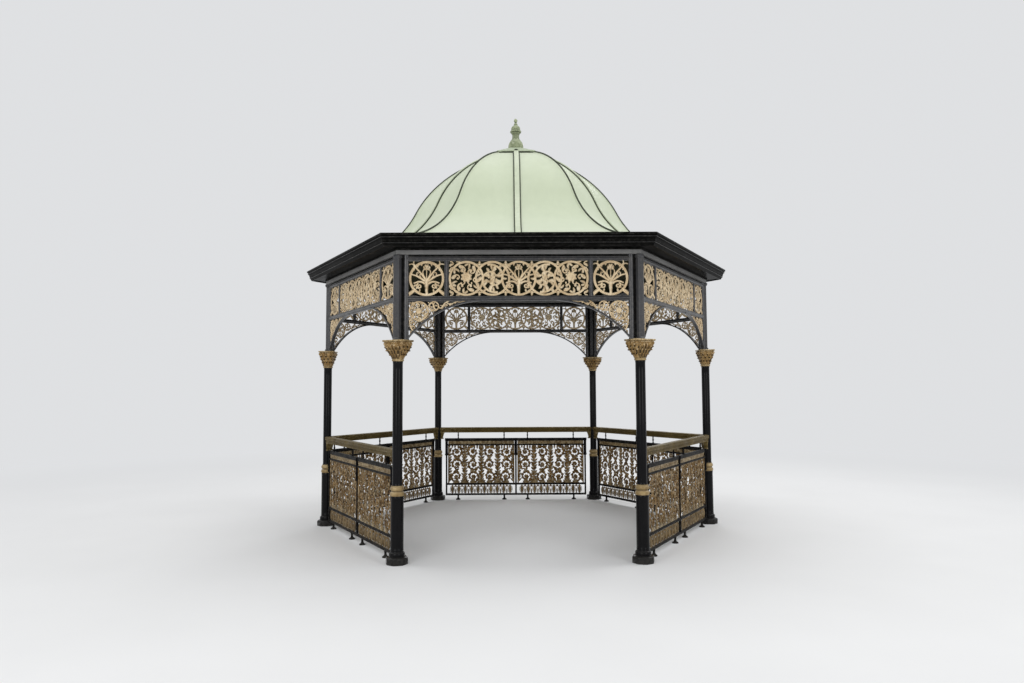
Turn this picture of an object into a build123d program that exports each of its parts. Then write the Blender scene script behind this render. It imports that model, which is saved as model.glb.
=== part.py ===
from build123d import *
import math
import os

os.makedirs("parts", exist_ok=True)

# Hexagonal bandstand with an ogee dome. Millimetres, +Z up. The origin is the
# centre of the floor ring on the ground. The open bay faces -Y.

# Plan
column_circle = 2000.0
column_angles = {
    "front_left": 240.0,
    "front_right": 300.0,
    "right": 0.0,
    "back_right": 60.0,
    "back_left": 120.0,
    "left": 180.0,
}
bay_angles = {
    "front": 270.0,
    "front_right": 330.0,
    "back_right": 30.0,
    "back": 90.0,
    "back_left": 150.0,
    "front_left": 210.0,
}
entrance_bay = "front"
bay_apothem = column_circle * math.cos(math.radians(30.0))
half_bay = column_circle / 2

# Clearance of a sleeve around the piece it is threaded on
sleeve_clearance = 0.5
# Clearance of a rail end coped to a round shaft
cope_clearance = 0.2

# Column heights
plinth_top = 60.0
base_dome_height = 38.0
collar_bottom = 545.0
collar_lower_height = 33.0
collar_groove_height = 12.0
collar_upper_height = 38.0
capital_bottom = 1640.0
capital_height = 175.0
beam_height = 47.0

# Column sizes
plinth_flats = 172.0
plinth_chamfer = 8.0
base_diameter = 132.0
pedestal_diameter = 108.0
shaft_diameter = 83.0
post_side = 45.0

# Sides of the faceted rings of collars and capitals, and of the finial
trim_sides = 12
finial_sides = 16

# Collar rings around the shaft
collar_lower_diameter = 116.0
collar_upper_diameter = 103.0
collar_groove_diameter = 94.0

# Capital
capital_ring_diameter = 99.0
capital_ring_height = 22.0
bell_foot_diameter = 92.0
bell_top_tangent = 182.0
bell_top_radial = 134.0
bell_corner = 30.0
abacus_tangent = 206.0
abacus_radial = 150.0
abacus_thickness = 18.0

# Ring beam on top of the posts
beam_width = 52.0

# Frieze frame of one bay, measured along the bay from the column axis, and up from the
# capital: arch, lower rail, panel, upper rail
frame_depth = 34.0
jamb_inner = 46.0
jamb_outer = 88.0
mullion_from_axis = 400.0
mullion_width = 36.0
frieze_arch_height = 324.0
frieze_lower_rail = 41.0
frieze_panel_height = 294.0
frieze_upper_rail = 52.0
rim_thickness = 16.0
rim_share = 1.276
rim_centre_x = half_bay - 733.0

# Frieze tracery
tracery_depth = 12.0
tracery_bar = 14.0
rosette_radius = 36.0
rosette_sides = 6
spandrel_shares = (0.965, 0.5)
spandrel_lap = 2.0

# Railing of one bay: down from the handrail, and up from the ground
handrail_bottom = 853.0
handrail_height = 67.0
handrail_width = 64.0
handrail_neck_width = 50.0
handrail_neck_height = 30.0
bracket_height = 81.0
bracket_length = 40.0
bracket_width = 44.0
strut_height = 73.0
rail_top_height = 35.0
bead_strip_height = 42.0
rail_mid_height = 18.0
stile_step_drop = 126.0
foot_height = 55.0
rail_foot_height = 23.0
spindle_height = 107.0
rail_sub_height = 24.0
rail_depth = 24.0
end_stile_x = half_bay - 110.0
stile_wide = 44.0
stile_narrow = 22.0
strut_share = 0.663
strut_side = 20.0
foot_side = 24.0
foot_disc_side = 58.0
foot_disc_height = 10.0

# Railing panels
panel_depth = 10.0
scroll_tie = 26.5
spindle_margin = 13.0
spindle_width = 30.0
spindles_per_half = 10

# Cornice: outer faces, measured outward from the middle of the beam, and heights of its
# bands, up from the drip edge that hangs below the beam's top
cornice_low_reach = 161.0
cornice_mid_reach = 180.0
cornice_reach = 205.0
cornice_drop = 7.0
cornice_cove_height = 46.0
cornice_lip_height = 40.0
cornice_edge_height = 20.0
cornice_wall = 22.0
cornice_board = 17.0
drip_width = 14.0

# Dome: the ogee of each face is a chain of tangent arcs (radius as a share of the dome's
# reach, turn in degrees), which starts on an upstand in the gutter and leans inward by the
# heading
dome_sheet = 12.0
dome_foot_reach = 118.0
dome_upstand_height = 58.0
dome_upstand_lean = 12.0
dome_heading = 168.8
dome_arc_shares = ((1.061, -11.8), (0.556, -42.5), (0.5958, 48.4))
batten_width = 68.0
hip_width = 32.0
batten_height = 22.0
batten_set = 38.0

# Cap over the eye of the dome
cap_lap = 74.0
cap_edge_height = 16.0
cap_height = 124.0
cap_top_radius = 98.0

# Finial, with its parts as shares of its height
finial_height = 344.0
finial_bulb_radius = 81.0
finial_bulb_middle_radius = 75.0
finial_bulb_top_radius = 57.0
finial_neck_radius = 39.0
finial_disc_radius = 60.0
finial_cone_radius = 50.0
finial_ball_radius = 21.0
finial_ball_neck_radius = 10.5
finial_tip_radius = 4.0

# Heights and reaches that follow from the sizes above
base_top = plinth_top + base_dome_height
collar_groove_low = collar_bottom + collar_lower_height
collar_groove_high = collar_groove_low + collar_groove_height
collar_top = collar_groove_high + collar_upper_height
capital_top = capital_bottom + capital_height
frieze_rail_bottom = capital_top + frieze_arch_height
frieze_panel_bottom = frieze_rail_bottom + frieze_lower_rail
frieze_panel_top = frieze_panel_bottom + frieze_panel_height
beam_bottom = frieze_panel_top + frieze_upper_rail
beam_top = beam_bottom + beam_height
handrail_top = handrail_bottom + handrail_height
bracket_bottom = handrail_bottom - bracket_height
rail_top_high = handrail_bottom - strut_height
rail_top_low = rail_top_high - rail_top_height
rail_mid_high = rail_top_low - bead_strip_height
rail_mid_low = rail_mid_high - rail_mid_height
stile_step = rail_mid_low - stile_step_drop
rail_foot_high = foot_height + rail_foot_height
rail_sub_low = rail_foot_high + spindle_height
rail_sub_high = rail_sub_low + rail_sub_height
cornice_inner = bay_apothem - beam_width / 2
cornice_low_outer = bay_apothem + cornice_low_reach
cornice_mid_outer = bay_apothem + cornice_mid_reach
cornice_outer = bay_apothem + cornice_reach
cornice_low = beam_top - cornice_drop
cornice_cove = cornice_low + cornice_cove_height
cornice_lip = cornice_cove + cornice_lip_height
cornice_top = cornice_lip + cornice_edge_height
dome_foot = (bay_apothem + dome_foot_reach, beam_top + cornice_board)
dome_start = (dome_foot[0] - dome_upstand_lean, dome_foot[1] + dome_upstand_height)
dome_arcs = [(share * dome_start[0], turn) for share, turn in dome_arc_shares]
batten_foot = dome_start[0] - batten_set


def direction(angle):
    return (math.cos(math.radians(angle)), math.sin(math.radians(angle)), 0.0)


def column_axis(angle):
    across, along, _ = direction(angle)
    return (column_circle * across, column_circle * along, 0.0)


# A column's own plane: X points outward from the centre of the plan
def column_plane(angle, height=0.0):
    across, along, _ = column_axis(angle)
    return Plane(origin=(across, along, height), x_dir=direction(angle), z_dir=(0, 0, 1))


# The inner face of a layer of one depth, centred on a bay's upright plane: X runs
# along the bay, Y is up, Z points outward
def bay_layer(angle, depth):
    across, along, _ = direction(angle)
    from_axis = bay_apothem - depth / 2
    origin = (from_axis * across, from_axis * along, 0.0)
    return Plane(origin=origin, x_dir=direction(angle + 90.0), z_dir=direction(angle))


# The near face of a slab of one width, centred on the axis: X points outward, Y is up
def radial_layer(angle, width):
    across, along, _ = direction(angle + 90.0)
    origin = (width / 2 * across, width / 2 * along, 0.0)
    return Plane(origin=origin, x_dir=direction(angle), z_dir=direction(angle - 90.0))


# Corners of a straight bar of one width between two points
def bar_outline(start, end, width):
    run = end[0] - start[0]
    rise = end[1] - start[1]
    length = math.hypot(run, rise)
    side = (-rise / length * width / 2, run / length * width / 2)
    return [
        (start[0] + side[0], start[1] + side[1]),
        (end[0] + side[0], end[1] + side[1]),
        (end[0] - side[0], end[1] - side[1]),
        (start[0] - side[0], start[1] - side[1]),
    ]


# Solids of revolution and prisms are built once per column, since each has its own place
for place, angle in column_angles.items():
    with BuildPart() as column:
        with BuildSketch(column_plane(angle)):
            RegularPolygon(plinth_flats / 2, 8, major_radius=False, rotation=22.5)
        extrude(amount=plinth_top)
        chamfer(column.faces().sort_by(Axis.Z)[-1].edges(), length=plinth_chamfer)
        with BuildSketch(column_plane(angle)):
            Circle(base_diameter / 2)
        extrude(amount=base_top)
        with BuildSketch(column_plane(angle)):
            Circle(pedestal_diameter / 2)
        extrude(amount=collar_bottom)
        with BuildSketch(column_plane(angle)):
            Circle(shaft_diameter / 2)
        extrude(amount=capital_bottom)
        with BuildSketch(column_plane(angle)):
            Rectangle(post_side, post_side)
        extrude(amount=beam_bottom)
    column.part.label = "column_" + place
    export_step(column.part, "parts/column_" + place + ".step")

# Collars: two faceted rings with a groove between, threaded on the shaft and resting on
# the pedestal
with BuildPart() as column_collars:
    for angle in column_angles.values():
        for size, low, high in (
            (collar_lower_diameter, collar_bottom, collar_groove_low),
            (collar_groove_diameter, collar_groove_low, collar_groove_high),
            (collar_upper_diameter, collar_groove_high, collar_top),
        ):
            with BuildSketch(column_plane(angle, low)):
                RegularPolygon(size / 2, trim_sides)
                Circle(shaft_diameter / 2 + sleeve_clearance, mode=Mode.SUBTRACT)
            extrude(amount=high - low)
column_collars.part.label = "column_collars"
export_step(column_collars.part, "parts/column_collars.step")

# Capitals: a ring, a bell flaring from round to oblong, and a flat abacus
bell_bottom = capital_bottom + capital_ring_height
abacus_bottom = capital_top - abacus_thickness


def eight_corners(radial, tangent, corner):
    half_radial = radial / 2
    half_tangent = tangent / 2
    return [
        (half_radial, -half_tangent + corner),
        (half_radial, half_tangent - corner),
        (half_radial - corner, half_tangent),
        (-half_radial + corner, half_tangent),
        (-half_radial, half_tangent - corner),
        (-half_radial, -half_tangent + corner),
        (-half_radial + corner, -half_tangent),
        (half_radial - corner, -half_tangent),
    ]


with BuildPart() as capitals:
    for angle in column_angles.values():
        with BuildSketch(column_plane(angle, capital_bottom)):
            RegularPolygon(capital_ring_diameter / 2, trim_sides)
        extrude(amount=capital_ring_height)
        foot_corner = bell_foot_diameter * (1 - math.sqrt(0.5))
        with BuildSketch(column_plane(angle, bell_bottom)):
            Polygon(*eight_corners(bell_foot_diameter, bell_foot_diameter, foot_corner), align=None)
        with BuildSketch(column_plane(angle, abacus_bottom)):
            Polygon(*eight_corners(bell_top_radial, bell_top_tangent, bell_corner), align=None)
        loft(ruled=True)
        with BuildSketch(column_plane(angle, abacus_bottom)):
            Rectangle(abacus_radial, abacus_tangent)
        extrude(amount=abacus_thickness)
        with BuildSketch(column_plane(angle, capital_bottom)):
            bore = post_side + 2 * sleeve_clearance
            Rectangle(bore, bore)
        extrude(amount=capital_top - capital_bottom, mode=Mode.SUBTRACT)
capitals.part.label = "column_capitals"
export_step(capitals.part, "parts/column_capitals.step")

# Ring beam standing on the six posts
with BuildPart() as ring_beam:
    with BuildSketch(Plane.XY.offset(beam_bottom)):
        RegularPolygon(bay_apothem + beam_width / 2, 6, major_radius=False)
        RegularPolygon(bay_apothem - beam_width / 2, 6, major_radius=False, mode=Mode.SUBTRACT)
    extrude(amount=beam_top - beam_bottom)
ring_beam.part.label = "ring_beam"
export_step(ring_beam.part, "parts/ring_beam.step")

# Cornice: a moulded fascia on a flat soffit board, open on top as a gutter
with BuildPart() as cornice:
    for low, high, low_size, high_size in (
        (cornice_low, cornice_cove, cornice_low_outer, cornice_mid_outer),
        (cornice_cove, cornice_lip, cornice_mid_outer, cornice_outer),
        (cornice_lip, cornice_top, cornice_outer, cornice_outer),
    ):
        with BuildSketch(Plane.XY.offset(low)):
            RegularPolygon(low_size, 6, major_radius=False)
        with BuildSketch(Plane.XY.offset(high)):
            RegularPolygon(high_size, 6, major_radius=False)
        loft(ruled=True)
    with BuildSketch(Plane.XY.offset(beam_top + cornice_board)):
        RegularPolygon(cornice_low_outer - cornice_wall, 6, major_radius=False)
    extrude(amount=cornice_top - beam_top - cornice_board, mode=Mode.SUBTRACT)
    with BuildSketch(Plane.XY.offset(cornice_low)):
        RegularPolygon(cornice_low_outer - drip_width, 6, major_radius=False)
    extrude(amount=beam_top - cornice_low, mode=Mode.SUBTRACT)
    with BuildSketch(Plane.XY.offset(cornice_low)):
        RegularPolygon(cornice_inner, 6, major_radius=False)
    extrude(amount=cornice_top - cornice_low, mode=Mode.SUBTRACT)
cornice.part.label = "cornice"
export_step(cornice.part, "parts/cornice.step")

# Frieze frame: jambs on the capitals, three rails, two mullions and two arched rims
jamb_x = half_bay - (jamb_inner + jamb_outer) / 2
jamb_width = jamb_outer - jamb_inner
mullion_x = half_bay - mullion_from_axis
frame_half = half_bay - jamb_inner
rim_end_x = half_bay - jamb_outer
rim_span = rim_end_x - rim_centre_x
rim_radius = rim_share * rim_span
rim_centre_z = frieze_rail_bottom - rim_radius

with BuildSketch() as frame_outline:
    for side in (-1, 1):
        with Locations((side * jamb_x, (capital_top + beam_bottom) / 2)):
            Rectangle(jamb_width, beam_bottom - capital_top)
        with Locations((side * mullion_x, (frieze_panel_bottom + frieze_panel_top) / 2)):
            Rectangle(mullion_width, frieze_panel_top - frieze_panel_bottom)
    with Locations((0, (frieze_rail_bottom + frieze_panel_bottom) / 2)):
        Rectangle(2 * frame_half, frieze_panel_bottom - frieze_rail_bottom)
    with Locations((0, (frieze_panel_top + beam_bottom) / 2)):
        Rectangle(2 * frame_half, beam_bottom - frieze_panel_top)

rim_half_angle = math.degrees(math.asin(rim_span / rim_radius)) / 2


# One arched rim, as the band between two arcs, from the crown out to the jamb
def rim_points(radius):
    middle = math.radians(90.0 - rim_half_angle)
    end_rise = math.sqrt(radius**2 - rim_span**2)
    return [
        (rim_centre_x, rim_centre_z + radius),
        (rim_centre_x + radius * math.cos(middle), rim_centre_z + radius * math.sin(middle)),
        (rim_end_x, rim_centre_z + end_rise),
    ]


with BuildSketch() as rim_outline:
    with BuildLine():
        lower = rim_points(rim_radius)
        upper = rim_points(rim_radius + rim_thickness)
        ThreePointArc(*lower)
        Line(lower[-1], upper[-1])
        ThreePointArc(*upper)
        Line(upper[0], lower[0])
    make_face()
    mirror(about=Plane.YZ)

for place, angle in bay_angles.items():
    with BuildPart() as frame:
        with BuildSketch(bay_layer(angle, frame_depth)):
            add(frame_outline.sketch)
            add(rim_outline.sketch)
        extrude(amount=frame_depth)
    frame.part.label = "frieze_frame_" + place
    export_step(frame.part, "parts/frieze_frame_" + place + ".step")

# Frieze tracery: scroll rings with stems, in three panels and two spandrels
panel_middle = (frieze_panel_bottom + frieze_panel_top) / 2
panel_half = (frieze_panel_top - frieze_panel_bottom) / 2
side_panel_x = (half_bay - jamb_outer + mullion_x + mullion_width / 2) / 2
side_panel_half = (half_bay - jamb_outer - mullion_x - mullion_width / 2) / 2
ring_radius = panel_half
centre_ring_pitch = (mullion_x - mullion_width / 2 - ring_radius) / 2


# Corners of an octagon that fills a box, with flats up, down and sideways
def octagon(centre, half_wide, half_high):
    flat = math.tan(math.radians(22.5))
    corners = []
    for across, up in ((1, flat), (flat, 1), (-flat, 1), (-1, flat),
                       (-1, -flat), (-flat, -1), (flat, -1), (1, -flat)):
        corners.append((centre[0] + across * half_wide, centre[1] + up * half_high))
    return corners


# A flat ring of eight sides that fills a box
def ring(centre, half_wide, half_high):
    inner = octagon(centre, half_wide - tracery_bar, half_high - tracery_bar)
    Polygon(*octagon(centre, half_wide, half_high), align=None)
    Polygon(*inner, align=None, mode=Mode.SUBTRACT)


def bar(start, end, width=tracery_bar):
    Polygon(*bar_outline(start, end, width), align=None)


# The bar across a ring from top to bottom, and a flower where the bar carries one
def stem(centre, half_high, flower=False):
    reach = half_high - tracery_bar / 2
    bar((centre[0], centre[1] - reach), (centre[0], centre[1] + reach))
    if flower:
        with Locations(centre):
            RegularPolygon(rosette_radius, rosette_sides)


# A stem with two branches
def tree(centre, half_wide, half_high):
    stem(centre, half_high)
    across = half_wide - tracery_bar / 2
    up = half_high - tracery_bar / 2
    for side in (-1, 1):
        tip = (centre[0] + side * across * 0.87, centre[1] + up * 0.5)
        bar((centre[0], centre[1] - up * 0.2), tip)


# The circle that touches jamb, rail and arched rim sets the size of the spandrel's rings
spandrel_sum = rim_span + 2 * rim_radius + rim_thickness
spandrel_rest = rim_span**2 + rim_radius**2 - (rim_radius + rim_thickness) ** 2
spandrel_fit = spandrel_sum - math.sqrt(spandrel_sum**2 - spandrel_rest)
spandrel_rings = [share * spandrel_fit for share in spandrel_shares]

with BuildSketch() as tracery_outline:
    for step in range(-2, 3):
        with BuildSketch(mode=Mode.PRIVATE) as one_ring:
            centre = (step * centre_ring_pitch, panel_middle)
            ring(centre, ring_radius, ring_radius)
            if step == 0:
                tree(centre, ring_radius, ring_radius)
            else:
                stem(centre, ring_radius, flower=step in (-2, 2))
        add(one_ring.sketch)
    for side in (-1, 1):
        with BuildSketch(mode=Mode.PRIVATE) as side_panel:
            ring((side * side_panel_x, panel_middle), side_panel_half, panel_half)
            tree((side * side_panel_x, panel_middle), side_panel_half, panel_half)
        add(side_panel.sketch)
    # Spandrels: rings that shrink from the jamb towards the crown
    for side in (-1, 1):
        with BuildSketch(mode=Mode.PRIVATE) as spandrel:
            edge_x = rim_end_x
            for radius in spandrel_rings:
                ring((side * (edge_x - radius), frieze_rail_bottom - radius), radius, radius)
                edge_x = edge_x - 2 * radius + spandrel_lap
            first = spandrel_rings[0]
            stem((side * (rim_end_x - first), frieze_rail_bottom - first), first, flower=True)
        add(spandrel.sketch)

for place, angle in bay_angles.items():
    with BuildPart() as tracery:
        with BuildSketch(bay_layer(angle, tracery_depth)):
            add(tracery_outline.sketch)
        extrude(amount=tracery_depth)
    tracery.part.label = "frieze_tracery_" + place
    export_step(tracery.part, "parts/frieze_tracery_" + place + ".step")

# Railings close every bay but the entrance
railing_bays = {place: angle for place, angle in bay_angles.items() if place != entrance_bay}
shaft_edge = half_bay - shaft_diameter / 2
bracket_x = shaft_edge - bracket_length / 2

# Handrails: a moulded rail coped to both shafts, with a bracket under each end
with BuildPart() as handrails:
    for angle in railing_bays.values():
        with BuildSketch(bay_layer(angle, handrail_neck_width)):
            with Locations((0, (handrail_bottom + handrail_top) / 2)):
                Rectangle(2 * half_bay, handrail_top - handrail_bottom)
        extrude(amount=handrail_neck_width)
        with BuildSketch(bay_layer(angle, handrail_width)):
            with Locations((0, (handrail_bottom + handrail_neck_height + handrail_top) / 2)):
                Rectangle(2 * half_bay, handrail_top - handrail_bottom - handrail_neck_height)
        extrude(amount=handrail_width)
        with BuildSketch(bay_layer(angle, bracket_width)):
            for side in (-1, 1):
                with Locations((side * bracket_x, (bracket_bottom + handrail_bottom) / 2)):
                    Rectangle(bracket_length, handrail_bottom - bracket_bottom)
        extrude(amount=bracket_width)
    with BuildSketch(Plane.XY.offset(bracket_bottom)):
        with PolarLocations(column_circle, len(column_angles)):
            Circle(shaft_diameter / 2 + cope_clearance)
    extrude(amount=handrail_top - bracket_bottom, mode=Mode.SUBTRACT)
handrails.part.label = "handrails"
export_step(handrails.part, "parts/handrails.step")

# Railing frames: four rails, three stiles thicker at the top, struts and feet
half_panel_x = end_stile_x / 2
strut_offset = strut_share * half_panel_x
strut_places = [
    side * (half_panel_x + end * strut_offset) for side in (-1, 1) for end in (-1, 1)
]

with BuildSketch() as rail_outline:
    for low, high in (
        (foot_height, rail_foot_high),
        (rail_sub_low, rail_sub_high),
        (rail_mid_low, rail_mid_high),
        (rail_top_low, rail_top_high),
    ):
        with Locations((0, (low + high) / 2)):
            Rectangle(2 * end_stile_x, high - low)
    for stile_x in (-end_stile_x, 0.0, end_stile_x):
        with Locations((stile_x, (foot_height + stile_step) / 2)):
            Rectangle(stile_narrow, stile_step - foot_height)

with BuildSketch() as stile_outline:
    for stile_x in (-end_stile_x, 0.0, end_stile_x):
        with Locations((stile_x, (stile_step + rail_top_high) / 2)):
            Rectangle(stile_wide, rail_top_high - stile_step)

for place, angle in railing_bays.items():
    with BuildPart() as railing:
        with BuildSketch(bay_layer(angle, rail_depth)):
            add(rail_outline.sketch)
        extrude(amount=rail_depth)
        with BuildSketch(bay_layer(angle, stile_wide)):
            add(stile_outline.sketch)
        extrude(amount=stile_wide)
        with BuildSketch(bay_layer(angle, strut_side)):
            for strut_x in strut_places:
                with Locations((strut_x, (rail_top_high + handrail_bottom) / 2)):
                    Rectangle(strut_side, handrail_bottom - rail_top_high)
                with Locations((strut_x, foot_height / 2)):
                    Rectangle(foot_side, foot_height)
        extrude(amount=strut_side)
        with BuildSketch(bay_layer(angle, foot_disc_side)):
            for strut_x in strut_places:
                with Locations((strut_x, foot_disc_height / 2)):
                    Rectangle(foot_disc_side, foot_disc_height)
        extrude(amount=foot_disc_side)
    railing.part.label = "railing_frame_" + place
    export_step(railing.part, "parts/railing_frame_" + place + ".step")

# Railing panels: a bead strip, two scroll rings and a row of spindles in each half
lattice_middle = (rail_sub_high + rail_mid_low) / 2
lattice_half = (rail_mid_low - rail_sub_high) / 2
lattice_edge = end_stile_x - stile_wide / 2
half_width = lattice_edge - stile_wide / 2
half_middle = (lattice_edge + stile_wide / 2) / 2
scroll_half_wide = half_width / 4
scroll_half_high = lattice_half - scroll_tie
spindle_pitch = (half_width - 2 * spindle_margin) / spindles_per_half

with BuildSketch() as panel_outline:
    for side in (-1, 1):
        with BuildSketch(mode=Mode.PRIVATE) as half_panel:
            for end in (-1, 1):
                centre = (side * half_middle + end * scroll_half_wide, lattice_middle)
                ring(centre, scroll_half_wide, scroll_half_high)
                stem(centre, scroll_half_high)
                for up in (-1, 1):
                    bar((centre[0], lattice_middle + up * (scroll_half_high - tracery_bar / 2)),
                        (centre[0], lattice_middle + up * lattice_half))
            with Locations((side * half_middle, (rail_mid_high + rail_top_low) / 2)):
                Rectangle(half_width, rail_top_low - rail_mid_high)
            for step in range(spindles_per_half):
                spindle_x = side * half_middle + (step - (spindles_per_half - 1) / 2) * spindle_pitch
                with Locations((spindle_x, (rail_foot_high + rail_sub_low) / 2)):
                    Rectangle(spindle_width, rail_sub_low - rail_foot_high)
        add(half_panel.sketch)

for place, angle in railing_bays.items():
    with BuildPart() as panel:
        with BuildSketch(bay_layer(angle, panel_depth)):
            add(panel_outline.sketch)
        extrude(amount=panel_depth)
    panel.part.label = "railing_panel_" + place
    export_step(panel.part, "parts/railing_panel_" + place + ".step")

# Dome: six sheets, each curved one way only and mitred to its neighbours
plan_reach = 2 * column_circle


# A point moved off a line of one heading, to its left for a positive distance
def beside(point, heading, distance):
    across, along, _ = direction(heading + 90.0)
    return (point[0] + distance * across, point[1] + distance * along)


# The upper end of the chain of arcs up the dome
def dome_end():
    heading = dome_heading
    point = dome_start
    for radius, turn in dome_arcs:
        centre_side = math.copysign(radius, turn)
        centre = beside(point, heading, centre_side)
        heading = heading + turn
        point = beside(centre, heading, -centre_side)
    return point


dome_eye_height = dome_end()[1] - dome_sheet
cap_apothem = dome_end()[0] + cap_lap
cap_radius = cap_apothem / math.cos(math.radians(30.0))
cap_top = dome_eye_height + cap_height
finial_top = cap_top + finial_height


# The chain of arcs up the dome, moved inward by a distance
def dome_curve(distance):
    heading = dome_heading
    point = beside(dome_start, heading, distance)
    arcs = []
    for radius, turn in dome_arcs:
        arc_radius = radius - math.copysign(distance, turn)
        arc = JernArc(point, direction(heading), arc_radius, turn)
        arcs.append(arc)
        point = arc @ 1
        heading = heading + turn
    return arcs


# A band between two such chains
def curved_band(inner, outer):
    with BuildLine() as outline:
        inner_arcs = dome_curve(inner)
        outer_arcs = dome_curve(outer)
        Line(outer_arcs[-1] @ 1, inner_arcs[-1] @ 1)
        Line(outer_arcs[0] @ 0, inner_arcs[0] @ 0)
    make_face(outline.edges())


# The slice of plan that belongs to one face, from its left mitre to its right mitre
def sector(angle):
    left = direction(angle - 30.0)
    right = direction(angle + 30.0)
    Polygon((0, 0), (plan_reach * left[0], plan_reach * left[1]),
            (plan_reach * right[0], plan_reach * right[1]), align=None)


for place, angle in bay_angles.items():
    with BuildPart() as dome_face:
        with BuildSketch(radial_layer(angle, plan_reach)):
            curved_band(dome_sheet, 0.0)
        with BuildSketch(radial_layer(angle, plan_reach)):
            foot_inner = (dome_foot[0] - dome_sheet, dome_foot[1])
            start_inner = beside(dome_start, dome_heading, dome_sheet)
            Polygon(dome_foot, dome_start, start_inner, foot_inner, align=None)
        extrude(amount=plan_reach)
        with BuildSketch(Plane.XY.offset(dome_foot[1])):
            sector(angle)
        extrude(amount=dome_eye_height - dome_foot[1], mode=Mode.INTERSECT)
    dome_face.part.label = "dome_face_" + place
    export_step(dome_face.part, "parts/dome_face_" + place + ".step")

# Battens up the middle of each face
with BuildPart() as face_battens:
    for angle in bay_angles.values():
        with BuildSketch(radial_layer(angle, batten_width)):
            curved_band(0.0, -batten_height)
        extrude(amount=batten_width)
    with BuildSketch(Plane.XY.offset(dome_foot[1])):
        RegularPolygon(batten_foot, 6, major_radius=False)
        RegularPolygon(cap_radius, 6, mode=Mode.SUBTRACT)
    extrude(amount=finial_top - dome_foot[1], mode=Mode.INTERSECT)
face_battens.part.label = "face_battens"
export_step(face_battens.part, "parts/face_battens.step")


# Corner battens: each is two halves that meet on the mitre between two faces
with BuildSketch() as corner_strips:
    for corner in column_angles.values():
        across, along, _ = direction(corner)
        tip = (plan_reach * across, plan_reach * along)
        Polygon(*bar_outline((0, 0), tip, hip_width), align=None)
    RegularPolygon(batten_foot, 6, major_radius=False, mode=Mode.INTERSECT)
    RegularPolygon(cap_radius, 6, mode=Mode.SUBTRACT)

batten_halves = []
for angle in bay_angles.values():
    with BuildPart() as two_halves:
        with BuildSketch(radial_layer(angle, plan_reach)):
            curved_band(0.0, -batten_height)
        extrude(amount=plan_reach)
        with BuildSketch(Plane.XY.offset(dome_foot[1])):
            sector(angle)
            add(corner_strips.sketch, mode=Mode.INTERSECT)
        extrude(amount=finial_top - dome_foot[1], mode=Mode.INTERSECT)
    batten_halves.append(two_halves.part)

with BuildPart() as corner_battens:
    for two_halves_part in batten_halves:
        add(two_halves_part)
corner_battens.part.label = "corner_battens"
export_step(corner_battens.part, "parts/corner_battens.step")

# Cap: a low hexagonal cover on the eye of the dome, sloping from its edge to a flat top
cap_edge_top = dome_eye_height + cap_edge_height
cap_top_apothem = cap_top_radius * math.cos(math.radians(30.0))

with BuildPart() as dome_cap:
    with BuildSketch(Plane.XY.offset(dome_eye_height)):
        RegularPolygon(cap_radius, 6)
    extrude(amount=cap_top - dome_eye_height)
    for angle in bay_angles.values():
        with BuildSketch(radial_layer(angle, 2 * cap_radius)):
            Polygon((cap_apothem, cap_edge_top), (cap_apothem, cap_top), (cap_top_apothem, cap_top),
                    align=None)
        extrude(amount=2 * cap_radius, mode=Mode.SUBTRACT)
dome_cap.part.label = "dome_cap"
export_step(dome_cap.part, "parts/dome_cap.step")

# Finial: a bulb, a neck, a disc, a cone and a ball, turned with few sides
finial_profile = [
    (0.0, finial_neck_radius),
    (0.076, finial_bulb_radius),
    (0.174, finial_bulb_middle_radius),
    (0.285, finial_bulb_top_radius),
    (0.384, finial_neck_radius),
    (0.5, finial_neck_radius),
    (0.558, finial_disc_radius),
    (0.599, finial_disc_radius),
    (0.692, finial_cone_radius),
    (0.872, finial_ball_neck_radius),
    (0.924, finial_ball_radius),
    (1.0, finial_tip_radius),
]
with BuildPart() as finial:
    for lower, upper in zip(finial_profile, finial_profile[1:]):
        with BuildSketch(Plane.XY.offset(cap_top + lower[0] * finial_height)):
            RegularPolygon(lower[1], finial_sides)
        with BuildSketch(Plane.XY.offset(cap_top + upper[0] * finial_height)):
            RegularPolygon(upper[1], finial_sides)
        loft(ruled=True)
finial.part.label = "finial"
export_step(finial.part, "parts/finial.step")
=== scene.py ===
import math
import random

import bmesh
import bpy
from mathutils import Matrix, Vector


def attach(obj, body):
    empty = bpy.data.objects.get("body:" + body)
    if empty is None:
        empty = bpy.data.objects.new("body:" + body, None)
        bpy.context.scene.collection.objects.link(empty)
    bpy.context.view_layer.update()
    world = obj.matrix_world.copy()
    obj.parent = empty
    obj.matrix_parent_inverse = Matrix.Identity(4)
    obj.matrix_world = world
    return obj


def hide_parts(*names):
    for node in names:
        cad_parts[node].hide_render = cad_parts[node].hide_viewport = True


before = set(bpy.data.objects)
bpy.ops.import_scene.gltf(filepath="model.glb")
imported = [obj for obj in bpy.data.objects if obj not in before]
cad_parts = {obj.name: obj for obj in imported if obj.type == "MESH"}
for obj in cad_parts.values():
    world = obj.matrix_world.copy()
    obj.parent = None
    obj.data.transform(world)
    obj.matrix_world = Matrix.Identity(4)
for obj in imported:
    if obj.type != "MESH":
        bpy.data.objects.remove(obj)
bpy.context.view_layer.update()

# Hexagonal bandstand, in metres. One bay is drawn in the place of the front bay, which faces
# -Y, and one column in the place of the right-hand column; both are then set round the centre.
plan = {
    "columnCircle": 2.0,
    "step": 60.0,
    "railings": (5, 60.0),       # how many, and degrees from the front bay to the first of them
}
cos30 = math.cos(math.radians(30))
bayApothem = plan["columnCircle"] * cos30
axis = (plan["columnCircle"], 0.0, 0.0)


# materials

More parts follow.
